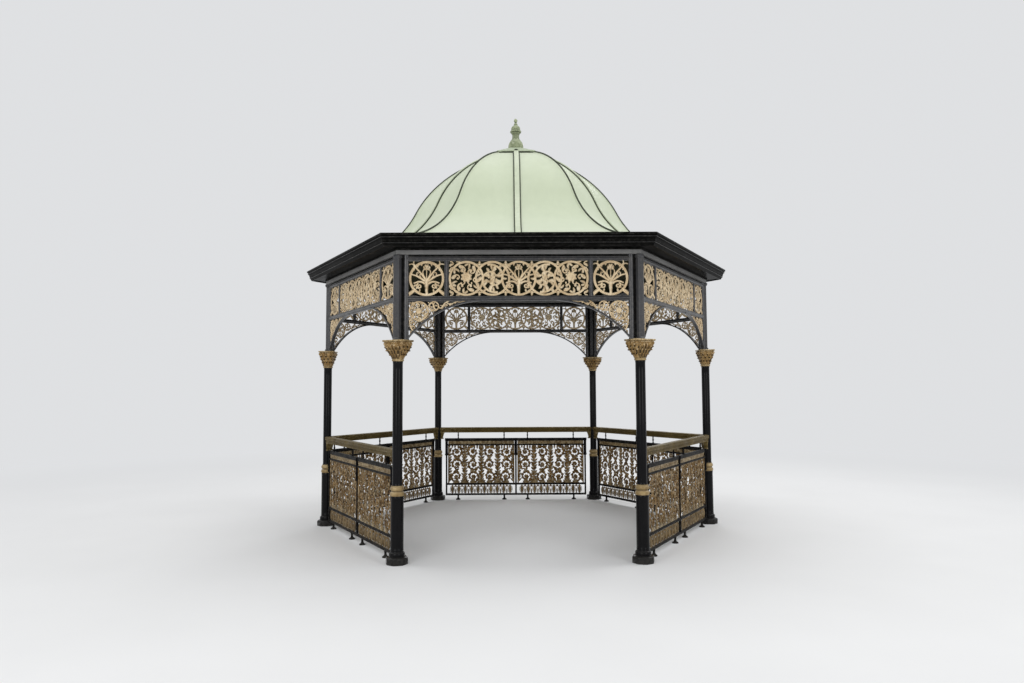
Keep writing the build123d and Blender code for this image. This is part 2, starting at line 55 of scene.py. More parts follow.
def fillInputs(tree, node, inputs):
    # each input takes a number, a colour or another node's output
    for name, value in inputs.items():
        socket = node.inputs[name]
        if isinstance(value, bpy.types.NodeSocket):
            tree.links.new(value, socket)
        else:
            socket.default_value = (*value, 1) if socket.type == "RGBA" else value


def addNode(tree, kind, inputs={}, **settings):
    node = tree.nodes.new(kind)
    for key, value in settings.items():
        setattr(node, key, value)
    fillInputs(tree, node, inputs)
    return node


def newMaterial(name):
    material = bpy.data.materials.new(name)
    material.use_nodes = True
    return material, material.node_tree, material.node_tree.nodes["Principled BSDF"]


def objectPlace(tree):
    return addNode(tree, "ShaderNodeTexCoord").outputs["Object"]


def objectCoordinates(tree, scale=(1, 1, 1)):
    return addNode(tree, "ShaderNodeMapping", {"Vector": objectPlace(tree),
                                               "Scale": scale}).outputs["Vector"]


def noiseField(tree, vector, scale, detail, rough):
    inputs = {"Vector": vector, "Scale": scale, "Detail": detail, "Roughness": rough}
    return addNode(tree, "ShaderNodeTexNoise", inputs).outputs["Fac"]


def calculate(tree, operation, first, second, clamp=False):
    return addNode(tree, "ShaderNodeMath", {0: first, 1: second}, operation=operation,
                   use_clamp=clamp).outputs[0]


def grey(level):
    return (level, level, level)


def ramp(tree, value, *stops):
    node = addNode(tree, "ShaderNodeValToRGB", {"Fac": value})
    elements = node.color_ramp.elements
    while len(elements) < len(stops):
        elements.new(0.5)
    for element, (position, colour) in zip(elements, stops):
        element.position = position
        element.color = (*colour, 1)
    return node.outputs["Color"]


def fadeIn(tree, value, low, high):
    return ramp(tree, value, (low, grey(0)), (high, grey(1)))


def mixColours(tree, factor, first, second):
    return addNode(tree, "ShaderNodeMix", {0: factor, 6: first, 7: second}, data_type="RGBA").outputs[2]


def upwardShare(tree, vector, low, high):
    # 0 where the vector's upward part is below the band, 1 where it is above it
    upward = addNode(tree, "ShaderNodeSeparateXYZ", {"Vector": vector}).outputs["Z"]
    inputs = {"Value": upward, "From Min": low, "From Max": high}
    return addNode(tree, "ShaderNodeMapRange", inputs).outputs["Result"]


def pointinessRamp(tree, low, high):
    return fadeIn(tree, addNode(tree, "ShaderNodeNewGeometry").outputs["Pointiness"], low, high)


def bumped(tree, height, strength, distance):
    inputs = {"Height": height, "Strength": strength, "Distance": distance}
    return addNode(tree, "ShaderNodeBump", inputs).outputs["Normal"]


# the values that the finishes below don't set themselves
usual = {
    "streakScale": (6, 6, 0.8), "streakNoise": 6.0, "metallic": 0.0, "specular": 0.5, "coat": 0.0,
    "ior": 1.45,
}


def paintedMetal(name, own):
    values = {**usual, **own}
    material, tree, shader = newMaterial(name)
    near = objectCoordinates(tree)
    dark, middle, light = values["tones"]
    patches = noiseField(tree, near, values["patchScale"], 5, 0.6)
    colour = ramp(tree, patches, (0.3, dark), (0.5, middle), (0.72, light))
    streakColour, amount = values["streaks"]
    streakNoise = noiseField(tree, objectCoordinates(tree, values["streakScale"]), values["streakNoise"], 6,
                             0.65)
    streaks = calculate(tree, "MULTIPLY", fadeIn(tree, streakNoise, 0.42, 0.7), amount)
    colour = mixColours(tree, streaks, colour, streakColour)
    if "foot" in values:
        # paler towards the foot
        pale, low, high = values["foot"]
        footShare = calculate(tree, "SUBTRACT", 0.75, upwardShare(tree, objectPlace(tree), low, high), True)
        colour = mixColours(tree, footShare, colour, pale)
    # painted shade: darker in creases and hollows, where the pointiness is low
    if "creviceShade" in values:
        deep, low, high = values["creviceShade"]
        colour = mixColours(tree, pointinessRamp(tree, low, high), deep, colour)
    if "edge" in values:
        # painted shade: the low edge of a cast stroke is darker than its ridge
        deep, low, high = values["edge"]
        ridge = addNode(tree, "ShaderNodeAttribute", attribute_name="ridge").outputs["Fac"]
        colour = mixColours(tree, fadeIn(tree, ridge, low, high), deep, colour)
    # pale patchy edges: partly paint worn off the edges, partly a painted highlight along edges and beads
    if "wearAndHighlight" in values:
        paleEdge, low, high = values["wearAndHighlight"]
        patchy = fadeIn(tree, noiseField(tree, near, 34.0, 6, 0.7), 0.46, 0.62)
        paleEdgeShare = calculate(tree, "MULTIPLY", pointinessRamp(tree, low, high), patchy)
        colour = mixColours(tree, paleEdgeShare, colour, paleEdge)
    if "top" in values:
        # dust and weathering on what faces up
        dusty, amount = values["top"]
        facing = upwardShare(tree, addNode(tree, "ShaderNodeNewGeometry").outputs["Normal"], 0.35, 0.95)
        colour = mixColours(tree, calculate(tree, "MULTIPLY", facing, amount), colour, dusty)
    if "splash" in values:
        # splashed dirt just above the ground
        spots = noiseField(tree, near, 21.0, 6, 0.7)
        dirt = calculate(tree, "SUBTRACT", spots, upwardShare(tree, objectPlace(tree), 0.0, 0.16), True)
        colour = mixColours(tree, dirt, colour, values["splash"])
    low, high = values["roughness"]
    sheen = noiseField(tree, near, values["patchScale"] * 2.3, 5, 0.6)
    scale, strength, depth = values["grain"]
    fillInputs(tree, shader, {
        "Base Color": colour, "Roughness": ramp(tree, sheen, (0.3, grey(low)), (0.7, grey(high))),
        "Metallic": values["metallic"], "Specular IOR Level": values["specular"], "IOR": values["ior"],
        "Coat Weight": values["coat"], "Coat Roughness": 0.25,
        "Normal": bumped(tree, noiseField(tree, near, scale, 6, 0.6), strength, depth),
    })
    return material


# tones: dark, middle and light patches; streaks and top: colour and amount; foot, painted shade in
# crevices, painted shade on stroke edges, and pale edges of paint wear and painted highlight: colour,
# then the two levels between which it comes in; grain: scale, strength, depth
finishes = {
    "ironBlack": {
        "tones": ((0.01, 0.01, 0.012), (0.015, 0.015, 0.018), (0.024, 0.024, 0.027)),
        "patchScale": 3.1, "streaks": ((0.036, 0.035, 0.036), 0.35),
        "wearAndHighlight": ((0.085, 0.078, 0.07), 0.54, 0.66), "top": ((0.075, 0.07, 0.062), 0.5),
        "roughness": (0.3, 0.46), "specular": 0.6, "coat": 0.2, "grain": (150.0, 0.16, 0.002),
    },
    # a lighter copy of the frames' black paint: painted light on the square posts
    "postLitGrey": {
        "tones": ((0.038, 0.038, 0.041), (0.049, 0.049, 0.053), (0.064, 0.064, 0.069)),
        "patchScale": 3.1, "streaks": ((0.036, 0.035, 0.036), 0.35),
        "wearAndHighlight": ((0.1, 0.093, 0.085), 0.54, 0.66), "top": ((0.085, 0.08, 0.072), 0.5),
        "roughness": (0.34, 0.48), "specular": 0.32, "coat": 0.1, "grain": (150.0, 0.16, 0.002),
    },
    # a darker copy of the frames' black paint: painted dark reflection on the column shafts
    "shaftBlack": {
        "tones": ((0.002, 0.002, 0.0025), (0.003, 0.003, 0.0036), (0.0055, 0.0055, 0.0065)),
        "patchScale": 3.1, "streaks": ((0.009, 0.0085, 0.0085), 0.3),
        "wearAndHighlight": ((0.05, 0.047, 0.043), 0.54, 0.66),
        "top": ((0.045, 0.042, 0.038), 0.4), "splash": (0.045, 0.043, 0.039),
        "roughness": (0.08, 0.15), "ior": 1.22, "grain": (150.0, 0.1, 0.002),
    },
    "railingBlack": {
        "tones": ((0.003, 0.003, 0.0034), (0.0045, 0.0045, 0.005), (0.008, 0.008, 0.009)),
        "patchScale": 4.0, "streaks": ((0.014, 0.0135, 0.013), 0.35),
        "wearAndHighlight": ((0.06, 0.055, 0.048), 0.54, 0.66),
        "top": ((0.03, 0.028, 0.024), 0.35), "splash": (0.045, 0.042, 0.036),
        "roughness": (0.3, 0.44), "ior": 1.08, "grain": (150.0, 0.12, 0.002),
    },
    "beamGrey": {
        "tones": ((0.15, 0.148, 0.144), (0.19, 0.188, 0.183), (0.235, 0.232, 0.226)),
        "patchScale": 3.5, "streaks": ((0.13, 0.128, 0.124), 0.35),
        "roughness": (0.34, 0.5), "specular": 0.4, "grain": (150.0, 0.14, 0.002),
    },
    # its pale edges are a painted highlight: the light lines along the fascia's bead mouldings
    "corniceBlack": {
        "tones": ((0.003, 0.003, 0.0027), (0.004, 0.004, 0.0036), (0.006, 0.006, 0.0055)),
        "patchScale": 1.6, "streaks": ((0.008, 0.008, 0.0075), 0.15),
        "streakScale": (4, 4, 0.9), "wearAndHighlight": ((0.03, 0.029, 0.027), 0.53, 0.64),
        "top": ((0.035, 0.035, 0.032), 0.6), "roughness": (0.26, 0.36), "ior": 1.06,
        "grain": (120.0, 0.05, 0.002),
    },
    "traceryGold": {
        "tones": ((0.48, 0.345, 0.19), (0.66, 0.51, 0.31), (0.8, 0.66, 0.45)),
        "patchScale": 9.0, "streaks": ((0.36, 0.25, 0.135), 0.4), "edge": ((0.13, 0.085, 0.04), 0.1, 0.8),
        "wearAndHighlight": ((0.86, 0.74, 0.53), 0.55, 0.66), "top": ((0.62, 0.53, 0.38), 0.3),
        "roughness": (0.42, 0.62), "specular": 0.4, "metallic": 0.15, "grain": (210.0, 0.25, 0.0012),
    },
    # its pale edges stand in for bright glints on the leaves: painted highlight
    "railingGold": {
        "tones": ((0.075, 0.037, 0.009), (0.165, 0.09, 0.025), (0.37, 0.225, 0.08)),
        "patchScale": 11.0, "streaks": ((0.08, 0.043, 0.013), 0.45),
        "edge": ((0.02, 0.0125, 0.005), 0.15, 0.9), "wearAndHighlight": ((0.66, 0.55, 0.37), 0.57, 0.7),
        "top": ((0.26, 0.17, 0.075), 0.3), "roughness": (0.36, 0.56), "specular": 0.12, "metallic": 0.35,
        "grain": (210.0, 0.25, 0.0012),
    },
    "paleGold": {
        "tones": ((0.11, 0.066, 0.023), (0.2, 0.13, 0.05), (0.38, 0.27, 0.125)),
        "patchScale": 10.0, "streaks": ((0.12, 0.08, 0.035), 0.4),
        "edge": ((0.018, 0.012, 0.005), 0.2, 0.95), "wearAndHighlight": ((0.66, 0.57, 0.4), 0.57, 0.7),
        "top": ((0.3, 0.23, 0.13), 0.3), "roughness": (0.38, 0.58), "specular": 0.35, "metallic": 0.15,
        "grain": (210.0, 0.25, 0.0012),
    },
    "capitalGold": {
        "tones": ((0.15, 0.08, 0.025), (0.27, 0.165, 0.058), (0.47, 0.32, 0.145)),
        "patchScale": 22.0, "streaks": ((0.11, 0.066, 0.026), 0.4),
        "creviceShade": ((0.03, 0.019, 0.008), 0.44, 0.5), "wearAndHighlight": ((0.68, 0.54, 0.34), 0.53, 0.62),
        "top": ((0.5, 0.4, 0.25), 0.6), "roughness": (0.34, 0.54), "specular": 0.25, "metallic": 0.3,
        "grain": (190.0, 0.3, 0.0012),
    },
    "collarGold": {
        "tones": ((0.19, 0.125, 0.048), (0.3, 0.21, 0.092), (0.45, 0.335, 0.17)),
        "patchScale": 14.0, "streaks": ((0.16, 0.1, 0.04), 0.4),
        "creviceShade": ((0.03, 0.019, 0.009), 0.44, 0.5), "wearAndHighlight": ((0.66, 0.53, 0.33), 0.53, 0.62),
        "top": ((0.52, 0.42, 0.26), 0.5), "roughness": (0.32, 0.5), "specular": 0.4, "metallic": 0.25,
        "grain": (190.0, 0.22, 0.0012),
    },
    "handrailGold": {
        "tones": ((0.05, 0.033, 0.0075), (0.082, 0.056, 0.0145), (0.13, 0.092, 0.028)),
        "patchScale": 5.0, "streaks": ((0.08, 0.055, 0.018), 0.5),
        "streakScale": (9, 9, 9), "wearAndHighlight": ((0.36, 0.29, 0.17), 0.53, 0.62),
        "top": ((0.22, 0.175, 0.095), 0.7), "roughness": (0.4, 0.6), "specular": 0.08, "metallic": 0.25,
        "grain": (140.0, 0.22, 0.0015),
    },
    "domeGreen": {
        "tones": ((0.53, 0.595, 0.428), (0.58, 0.64, 0.472), (0.625, 0.68, 0.527)),
        "patchScale": 0.9, "streaks": ((0.49, 0.55, 0.4), 0.24),
        "streakScale": (5, 5, 0.7), "streakNoise": 3.2, "foot": ((0.69, 0.74, 0.6), 2.66, 3.15),
        "roughness": (0.4, 0.54), "specular": 0.4, "grain": (60.0, 0.1, 0.002),
    },
    "battenGreen": {
        "tones": ((0.53, 0.59, 0.43), (0.61, 0.665, 0.505), (0.68, 0.73, 0.58)),
        "patchScale": 2.4, "streaks": ((0.44, 0.49, 0.35), 0.35),
        "roughness": (0.42, 0.58), "specular": 0.4, "grain": (90.0, 0.15, 0.0015),
    },
    # dark olive for the batten edge strips and hip rolls, also used as painted shadow under the cap's edge
    "darkOliveAndShade": {
        "tones": ((0.022, 0.027, 0.017), (0.04, 0.048, 0.03), (0.072, 0.084, 0.054)),
        "patchScale": 6.0, "streaks": ((0.09, 0.105, 0.068), 0.4),
        "roughness": (0.5, 0.7), "specular": 0.2, "grain": (160.0, 0.3, 0.001),
    },
    # dark partly as the lining's own colour, partly as painted shade for the shaded inside of the dome
    "liningAndShadeDark": {
        "tones": ((0.012, 0.013, 0.006), (0.019, 0.021, 0.009), (0.033, 0.036, 0.016)),
        "patchScale": 5.0, "streaks": ((0.028, 0.032, 0.014), 0.5),
        "roughness": (0.6, 0.8), "specular": 0.15, "grain": (40.0, 0.3, 0.003),
    },
    "capGreen": {
        "tones": ((0.35, 0.405, 0.275), (0.415, 0.47, 0.335), (0.49, 0.545, 0.41)),
        "patchScale": 2.6, "streaks": ((0.27, 0.33, 0.2), 0.35),
        "streakScale": (12, 12, 4), "wearAndHighlight": ((0.55, 0.62, 0.46), 0.53, 0.6),
        "roughness": (0.42, 0.58), "specular": 0.4, "grain": (80.0, 0.15, 0.002),
    },
    "finialGreen": {
        "tones": ((0.15, 0.175, 0.095), (0.28, 0.315, 0.19), (0.44, 0.48, 0.31)),
        "patchScale": 16.0, "streaks": ((0.15, 0.18, 0.09), 0.4),
        "creviceShade": ((0.03, 0.037, 0.018), 0.45, 0.51), "wearAndHighlight": ((0.58, 0.62, 0.46), 0.52, 0.6),
        "top": ((0.45, 0.5, 0.35), 0.5), "roughness": (0.45, 0.65), "specular": 0.4,
        "grain": (190.0, 0.3, 0.0012),
    },
}
materials = {name: paintedMetal(name, values) for name, values in finishes.items()}
print("materials made:", len(materials))


# mesh helpers

def bridge(bm, first, second, closed=True):
    count = len(first)
    for index in range(count if closed else count - 1):
        following = (index + 1) % count
        corners = [first[index], first[following], second[following], second[index]]
        if len(set(corners)) > 2:
            bm.faces.new(corners)


def skin(bm, rings, closed=False):
    # faces from each ring of points to the next; the ends are covered, or else joined to each other
    for index, ring in enumerate(rings if closed else rings[:-1]):
        bridge(bm, ring, rings[(index + 1) % len(rings)])
    if not closed:
        bm.faces.new(rings[0])
        bm.faces.new(rings[-1])


def skinLeaf(bm, front, back):
    # both sides of a leaf that is given as rows of points, and the edge between them
    edges = []
    for rows in (front, back):
        for low, high in zip(rows, rows[1:]):
            bridge(bm, low, high, closed=False)
        left = [row[0] for row in rows[-2:0:-1]]
        right = [row[-1] for row in rows[1:]]
        edges.append(rows[0] + right + rows[-1][-2::-1] + left)
    bridge(bm, *edges)


def around(centre, radius, angle):
    # the point at an angle in degrees round a centre
    turn = math.radians(angle)
    return (centre[0] + radius * math.cos(turn), centre[1] + radius * math.sin(turn))


def lathe(bm, centre, profile, sides=32, turn=0.0, swell=None):
    # profile: (radius, height) from the bottom up; swell changes the radius with height and angle
    rings = []
    for radius, height in profile:
        ring = []
        for side in range(sides):
            angle = turn + 2 * math.pi * side / sides
            reach = radius * (swell(height, angle) if swell else 1.0)
            ring.append(bm.verts.new((centre[0] + reach * math.cos(angle),
                                      centre[1] + reach * math.sin(angle), centre[2] + height)))
        rings.append(ring)
    skin(bm, rings)


def stackSections(bm, sections):
    # sections: lists of 3-D corners of equal length, closed at both ends
    skin(bm, [[bm.verts.new(corner) for corner in section] for section in sections])


def hexRing(bm, profile):
    # a closed profile of (apothem, height) carried round the hexagon with mitred corners
    skin(bm, [[bm.verts.new((*around((0, 0), apothem / cos30, 60 * side), height)) for side in range(6)]
              for apothem, height in profile], closed=True)


def newOrnament():
    # a mesh whose points also say how high they stand on their stroke
    bm = bmesh.new()
    bm.verts.layers.float.new("ridge")
    return bm


def sweepBay(bm, points, section, width, depth, closed=False):
    # carries a section along a path drawn in the front bay's upright plane; section is
    # (across the path, outward), as shares of width and depth
    count = len(points)
    ridgeLayer = bm.verts.layers.float.get("ridge")
    rings = []
    for index, (x, z) in enumerate(points):
        before = points[(index - 1) % count] if closed or index else points[0]
        after = points[(index + 1) % count] if closed or index < count - 1 else points[-1]
        first = Vector((x - before[0], z - before[1]))
        second = Vector((after[0] - x, after[1] - z))
        if first.length < 1e-9:
            first = second
        if second.length < 1e-9:
            second = first
        first.normalize()
        second.normalize()
        along = first + second
        along = along.normalized() if along.length > 1e-6 else second
        side = Vector((-along.y, along.x))
        mitre = 1.0 / max(0.5, abs(side.dot(Vector((-second.y, second.x)))))
        wide = width[index] if isinstance(width, list) else width
        deep = depth[index] if isinstance(depth, list) else depth
        rings.append([bm.verts.new((x + side.x * u * wide * mitre, -(bayApothem + v * deep),
                                    z + side.y * u * wide * mitre)) for u, v in section])
        if ridgeLayer:
            for vert, (_, v) in zip(rings[-1], section):
                vert[ridgeLayer] = min(1.0, abs(v) * 2)
    skin(bm, rings, closed)


def sweepRail(bm, halfLength, low, high, section, depth, extra=0.0):
    middle = (low + high) / 2
    sweepBay(bm, [(-halfLength, middle), (halfLength, middle)], section, high - low + extra, depth)


def sweepUpright(bm, x, levels, section, depth):
    # levels: (height, width)
    sweepBay(bm, [(x, height) for height, _ in levels], section, [width for _, width in levels], depth)


def linkPiece(name, mesh, material):
    piece = bpy.data.objects.new(name, mesh)
    bpy.context.scene.collection.objects.link(piece)
    piece.data.materials.clear()
    piece.data.materials.append(material)
    return piece


def placeRoundTree():
    tree = bpy.data.node_groups.new("placeRound", "GeometryNodeTree")
    for name, kind in (("Geometry", "Geometry"), ("Count", "Int"), ("First Angle", "Float"),
                       ("Angle Step", "Float"), ("Material", "Material")):
        tree.interface.new_socket(name, in_out="INPUT", socket_type="NodeSocket" + kind)
    tree.interface.new_socket("Geometry", in_out="OUTPUT", socket_type="NodeSocketGeometry")
    given = addNode(tree, "NodeGroupInput").outputs
    points = addNode(tree, "GeometryNodePoints", {"Count": given["Count"]})
    index = addNode(tree, "GeometryNodeInputIndex")
    angles = {0: index.outputs[0], 1: given["Angle Step"], 2: given["First Angle"]}
    turned = addNode(tree, "ShaderNodeMath", angles, operation="MULTIPLY_ADD")
    euler = addNode(tree, "ShaderNodeCombineXYZ", {"Z": turned.outputs[0]})
    rotation = addNode(tree, "FunctionNodeEulerToRotation", {0: euler.outputs[0]})
    copies = {"Points": points.outputs[0], "Instance": given["Geometry"], "Rotation": rotation.outputs[0]}
    instance = addNode(tree, "GeometryNodeInstanceOnPoints", copies)
    realize = addNode(tree, "GeometryNodeRealizeInstances", {0: instance.outputs[0]})
    painted = {"Geometry": realize.outputs[0], "Material": given["Material"]}
    paint = addNode(tree, "GeometryNodeSetMaterial", painted)
    addNode(tree, "NodeGroupOutput", {0: paint.outputs[0]})
    return tree


roundTree = placeRoundTree()


def placeRound(name, mesh, material, count, firstAngle):
    # copies one bay's or one column's mesh round the centre and returns one plain piece
    source = linkPiece(name + "Source", mesh, material)
    modifier = source.modifiers.new("placeRound", "NODES")
    modifier.node_group = roundTree
    given = {"Count": count, "First Angle": math.radians(firstAngle),
             "Angle Step": math.radians(plan["step"]), "Material": material}
    for item in roundTree.interface.items_tree:
        if item.in_out == "INPUT" and item.name in given:
            modifier[item.identifier] = given[item.name]
    evaluated = source.evaluated_get(bpy.context.evaluated_depsgraph_get())
    plain = bpy.data.meshes.new_from_object(evaluated)
    plain.name = name
    bpy.data.objects.remove(source)
    return linkPiece(name, plain, material)


def keepPiece(bm, name, finish, nodes=(), smooth=38, merge=1e-5, copies=(6, 0.0)):
    # copies: how many round the centre and where the first goes, or None for a whole piece
    if merge:
        bmesh.ops.remove_doubles(bm, verts=bm.verts, dist=merge)
    bmesh.ops.recalc_face_normals(bm, faces=bm.faces)
    for face in bm.faces:
        face.smooth = True
    mesh = bpy.data.meshes.new(name)
    bm.to_mesh(mesh)
    bm.free()
    mesh.set_sharp_from_angle(angle=math.radians(smooth))
    if copies:
        piece = placeRound(name, mesh, materials[finish], *copies)
    else:
        piece = linkPiece(name, mesh, materials[finish])
    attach(piece, "root")
    if nodes:
        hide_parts(*nodes)
    print("piece", name, "triangles", sum(len(face.vertices) - 2 for face in piece.data.polygons))


def nodesNamed(start):
    return [name for name in sorted(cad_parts) if name.startswith(start)]


# columns

column = {
    "postSide": 0.045,
    "postHeights": (1.8, 2.1, 2.4, 2.526),
    "postChamfer": 0.004,
    # out from the post's side, height
    "postFoot": [(0.0045, 1.815), (0.0075, 1.818), (0.0075, 1.828), (0.004, 1.834), (0.001, 1.838)],
    "postCap": [(0.001, 2.494), (0.004, 2.498), (0.0085, 2.504), (0.0095, 2.512), (0.0095, 2.522),
                (0.008, 2.526)],
    "sides": 40,
    "foot": [(0.0655, 0.054), (0.0658, 0.06), (0.0655, 0.066), (0.0625, 0.067), (0.0655, 0.07),
             (0.066, 0.078), (0.0655, 0.085), (0.063, 0.091), (0.0585, 0.0955), (0.0555, 0.098),
             (0.054, 0.103), (0.0535, 0.108), (0.0545, 0.111), (0.0545, 0.116), (0.0535, 0.119),
             (0.0532, 0.14), (0.0528, 0.5), (0.053, 0.522), (0.054, 0.526), (0.054, 0.534), (0.053, 0.538),
             (0.053, 0.547), (0.0455, 0.552), (0.0455, 0.61), (0.042, 0.615)],
    "shaft": [(0.042, 0.62), (0.0435, 0.628), (0.0435, 0.633), (0.042, 0.637), (0.0415, 0.645),
              (0.0414, 1.0), (0.0412, 1.55), (0.0412, 1.622), (0.0425, 1.626), (0.0425, 1.634),
              (0.0415, 1.642)],
    # half the distance across flats, height
    "plinth": [(0.084, 0.0), (0.086, 0.003), (0.086, 0.044), (0.0845, 0.05), (0.081, 0.0545), (0.076, 0.057),
               (0.07, 0.0585)],
}


def squareSection(x, y, height, c):
    # a rectangle round the column's axis with corners cut by c
    corners = [(x, -y + c), (x, y - c), (x - c, y), (-x + c, y), (-x, y - c), (-x, -y + c), (-x + c, -y),
               (x - c, -y)]
    return [(axis[0] + a, axis[1] + b, height) for a, b in corners]


bm = bmesh.new()
eighth = math.radians(22.5)
cornerScale = 1 / math.cos(eighth)
lathe(bm, axis, [(radius * cornerScale, height) for radius, height in column["plinth"]], 8, eighth)
lathe(bm, axis, column["foot"], column["sides"])
lathe(bm, axis, column["shaft"], column["sides"])
columnNodes = [name for name in nodesNamed("column_") if name not in ("column_collars", "column_capitals")]
# the shafts in the darker copy of the black: painted dark reflection
keepPiece(bm, "columnShafts", "shaftBlack", columnNodes)
bm = bmesh.new()
half = column["postSide"] / 2
for levels in ([(0.0, height) for height in column["postHeights"]], column["postFoot"], column["postCap"]):
    stackSections(bm, [squareSection(half + out, half + out, height, column["postChamfer"])
                       for out, height in levels])
# the posts in the lighter copy of the black: painted light
keepPiece(bm, "squarePosts", "postLitGrey")
print("columns placed")


# collars and capitals

collar = {
    "sides": 44,
    "rings": [(0.0505, 0.5445), (0.0545, 0.545), (0.057, 0.549), (0.0579, 0.556), (0.0577, 0.565),
              (0.0558, 0.572), (0.0525, 0.5765), (0.0485, 0.5785), (0.047, 0.581), (0.047, 0.587),
              (0.0535, 0.592), (0.0558, 0.598), (0.0563, 0.605), (0.0552, 0.612), (0.052, 0.6175),
              (0.049, 0.62), (0.0495, 0.6225), (0.0482, 0.6265), (0.044, 0.628)],
}
bm = bmesh.new()
lathe(bm, axis, collar["rings"], collar["sides"])
keepPiece(bm, "ringCollars", "collarGold", ["column_collars"])

capital = {
    "bottom": 1.662, "top": 1.797, "footRadius": 0.0475, "topRadial": 0.07, "topTangent": 0.0975,
    "flare": (0.03, 0.8), "sides": 48, "levels": 14, "beads": 30, "beadShare": 0.955, "beadRadius": 0.0058,
    "rows": (
        # leaves, low and high share of the bell, half width, lift, curl, turn in leaves
        (14, 0.0, 0.3, 0.19, 0.0025, 0.003, 0.5),
        (14, 0.12, 0.56, 0.185, 0.002, 0.0035, 0.0),
        (14, 0.4, 0.76, 0.165, 0.001, 0.0035, 0.5),
    ),
    # scrolls: reach from the axis, height, radius, thickness
    "cornerScroll": (0.1035, 1.7815, 0.0145, 0.021),
    "curls": 14, "curlShare": 0.79, "curlRadius": 0.0098, "curlThick": 0.012,
    "rosetteHeight": 1.7855, "rosetteRadius": 0.0145, "rosetteDepth": 0.009, "rosettePetals": 6,
    "rosettes": ((0, 0.0715), (180, 0.0715), (90, 0.0985), (270, 0.0985)),      # facing, reach
    "neck": [(0.0435, 1.6395), (0.048, 1.6405), (0.0495, 1.645), (0.0495, 1.652), (0.0475, 1.6575),
             (0.0465, 1.66), (0.0485, 1.6625), (0.0465, 1.666)],
    "neckSides": 44, "abacusRadial": 0.075, "abacusTangent": 0.103, "abacusChamfer": 0.004,
    # out from the abacus, height
    "abacus": [(-0.014, 1.7955), (-0.009, 1.7965), (-0.008, 1.799), (-0.002, 1.8005), (0.0022, 1.802),
               (0.0022, 1.8045), (0.0012, 1.8055), (0.003, 1.807), (0.003, 1.8135), (0.0018, 1.815)],
}


def bellPoint(share, angle, out=0.0):
    # a point on the bell, which goes from round at the foot to oblong under the abacus
    low, high = capital["flare"]
    rise = min(1.0, max(0.0, (share - low) / (high - low)))
    flare = 0.35 * rise + 0.65 * rise * rise * (3 - 2 * rise)
    radial = capital["footRadius"] + (capital["topRadial"] - capital["footRadius"]) * flare
    tangent = capital["footRadius"] + (capital["topTangent"] - capital["footRadius"]) * flare
    power = 2 + 5.5 * flare
    c, s = math.cos(angle), math.sin(angle)
    reach = (abs(c / radial) ** power + abs(s / tangent) ** power) ** (-1 / power) + out
    height = capital["bottom"] + (capital["top"] - capital["bottom"]) * share
    return Vector((axis[0] + reach * c, reach * s, height))


def bellLeaf(bm, angle, lowShare, highShare, halfWidth, lift, curl):
    # an upright leaf on the bell with a raised rib, and a tip that rolls outward
    rows = 9
    front, back = [], []
    for row in range(rows):
        t = row / (rows - 1)
        share = lowShare + (highShare - lowShare) * min(t * 1.12, 1.0)
        spread = halfWidth * (0.62 + 0.55 * math.sin(math.pi * min(t * 1.15, 1))) * (1 if t < 0.85 else 0.62)
        roll = max(0.0, t - 0.62) / 0.38
        frontRow, backRow = [], []
        for lane in (-1, -0.55, 0, 0.55, 1):
            rib = (1 - abs(lane)) ** 1.2 * 0.0035 + (0.0018 if abs(lane) == 1 else 0)
            point = bellPoint(share, angle + lane * spread, lift + rib + curl * roll ** 1.5)
            point.z -= 0.012 * max(0.0, roll - 0.55) / 0.45
            inner = bellPoint(share, angle + lane * spread * 0.9,
                              lift * 0.2 - 0.002 + curl * 0.72 * roll ** 1.8)
            inner.z -= 0.016 * max(0.0, roll - 0.55) / 0.45
            frontRow.append(bm.verts.new(point))
            backRow.append(bm.verts.new(inner))
        front.append(frontRow)
        back.append(backRow)
    skinLeaf(bm, front, back)


def outwardAt(angle):
    return Vector((math.cos(angle), math.sin(angle), 0))


def volute(bm, angle, centreReach, height, radius, thick, steps=26):
    # a rolled scroll that stands out at a corner under the abacus
    outward = outwardAt(angle)
    side = Vector((-outward.y, outward.x, 0))
    centre = Vector((axis[0], 0, height)) + outward * centreReach
    rings = []
    for step in range(steps):
        t = step / (steps - 1)
        turn = math.radians(200 - 560 * t)
        reach = radius * (1 - 0.78 * t)
        band = thick * (1 - 0.45 * t)
        normal = outward * math.cos(turn) + Vector((0, 0, math.sin(turn)))
        spot = centre + normal * reach
        rings.append([bm.verts.new(spot + side * a * band * 1.5 + normal * b * band * 0.5)
                      for a, b in ((-0.5, -0.5), (0.5, -0.5), (0.5, 0.2), (0.25, 0.5), (-0.25, 0.5),
                                   (-0.5, 0.2))])
    skin(bm, rings)


def rosette(bm, centre, outward, radius, depth, petals):
    # a small flower with a boss; outward is its facing direction
    outward = outward.normalized()
    side = Vector((0, 0, 1)).cross(outward).normalized()
    up = outward.cross(side)
    sides = petals * 4
    rings = []
    for share, lift in ((1.0, -0.3), (1.0, 0.25), (0.8, 0.62), (0.45, 0.34), (0.34, 0.3), (0.3, 0.8),
                        (0.16, 1.0)):
        ring = []
        for step in range(sides):
            angle = 2 * math.pi * step / sides
            lobe = 1 - (0.2 * (1 - abs(math.cos(angle * petals / 2))) if share > 0.6 else 0)
            spot = centre + (side * math.cos(angle) + up * math.sin(angle)) * radius * share * lobe
            ring.append(bm.verts.new(spot + outward * depth * lift))
        rings.append(ring)
    skin(bm, rings)


def spreadAngles(count, turn=0.0):
    return [2 * math.pi * (step + turn) / count for step in range(count)]


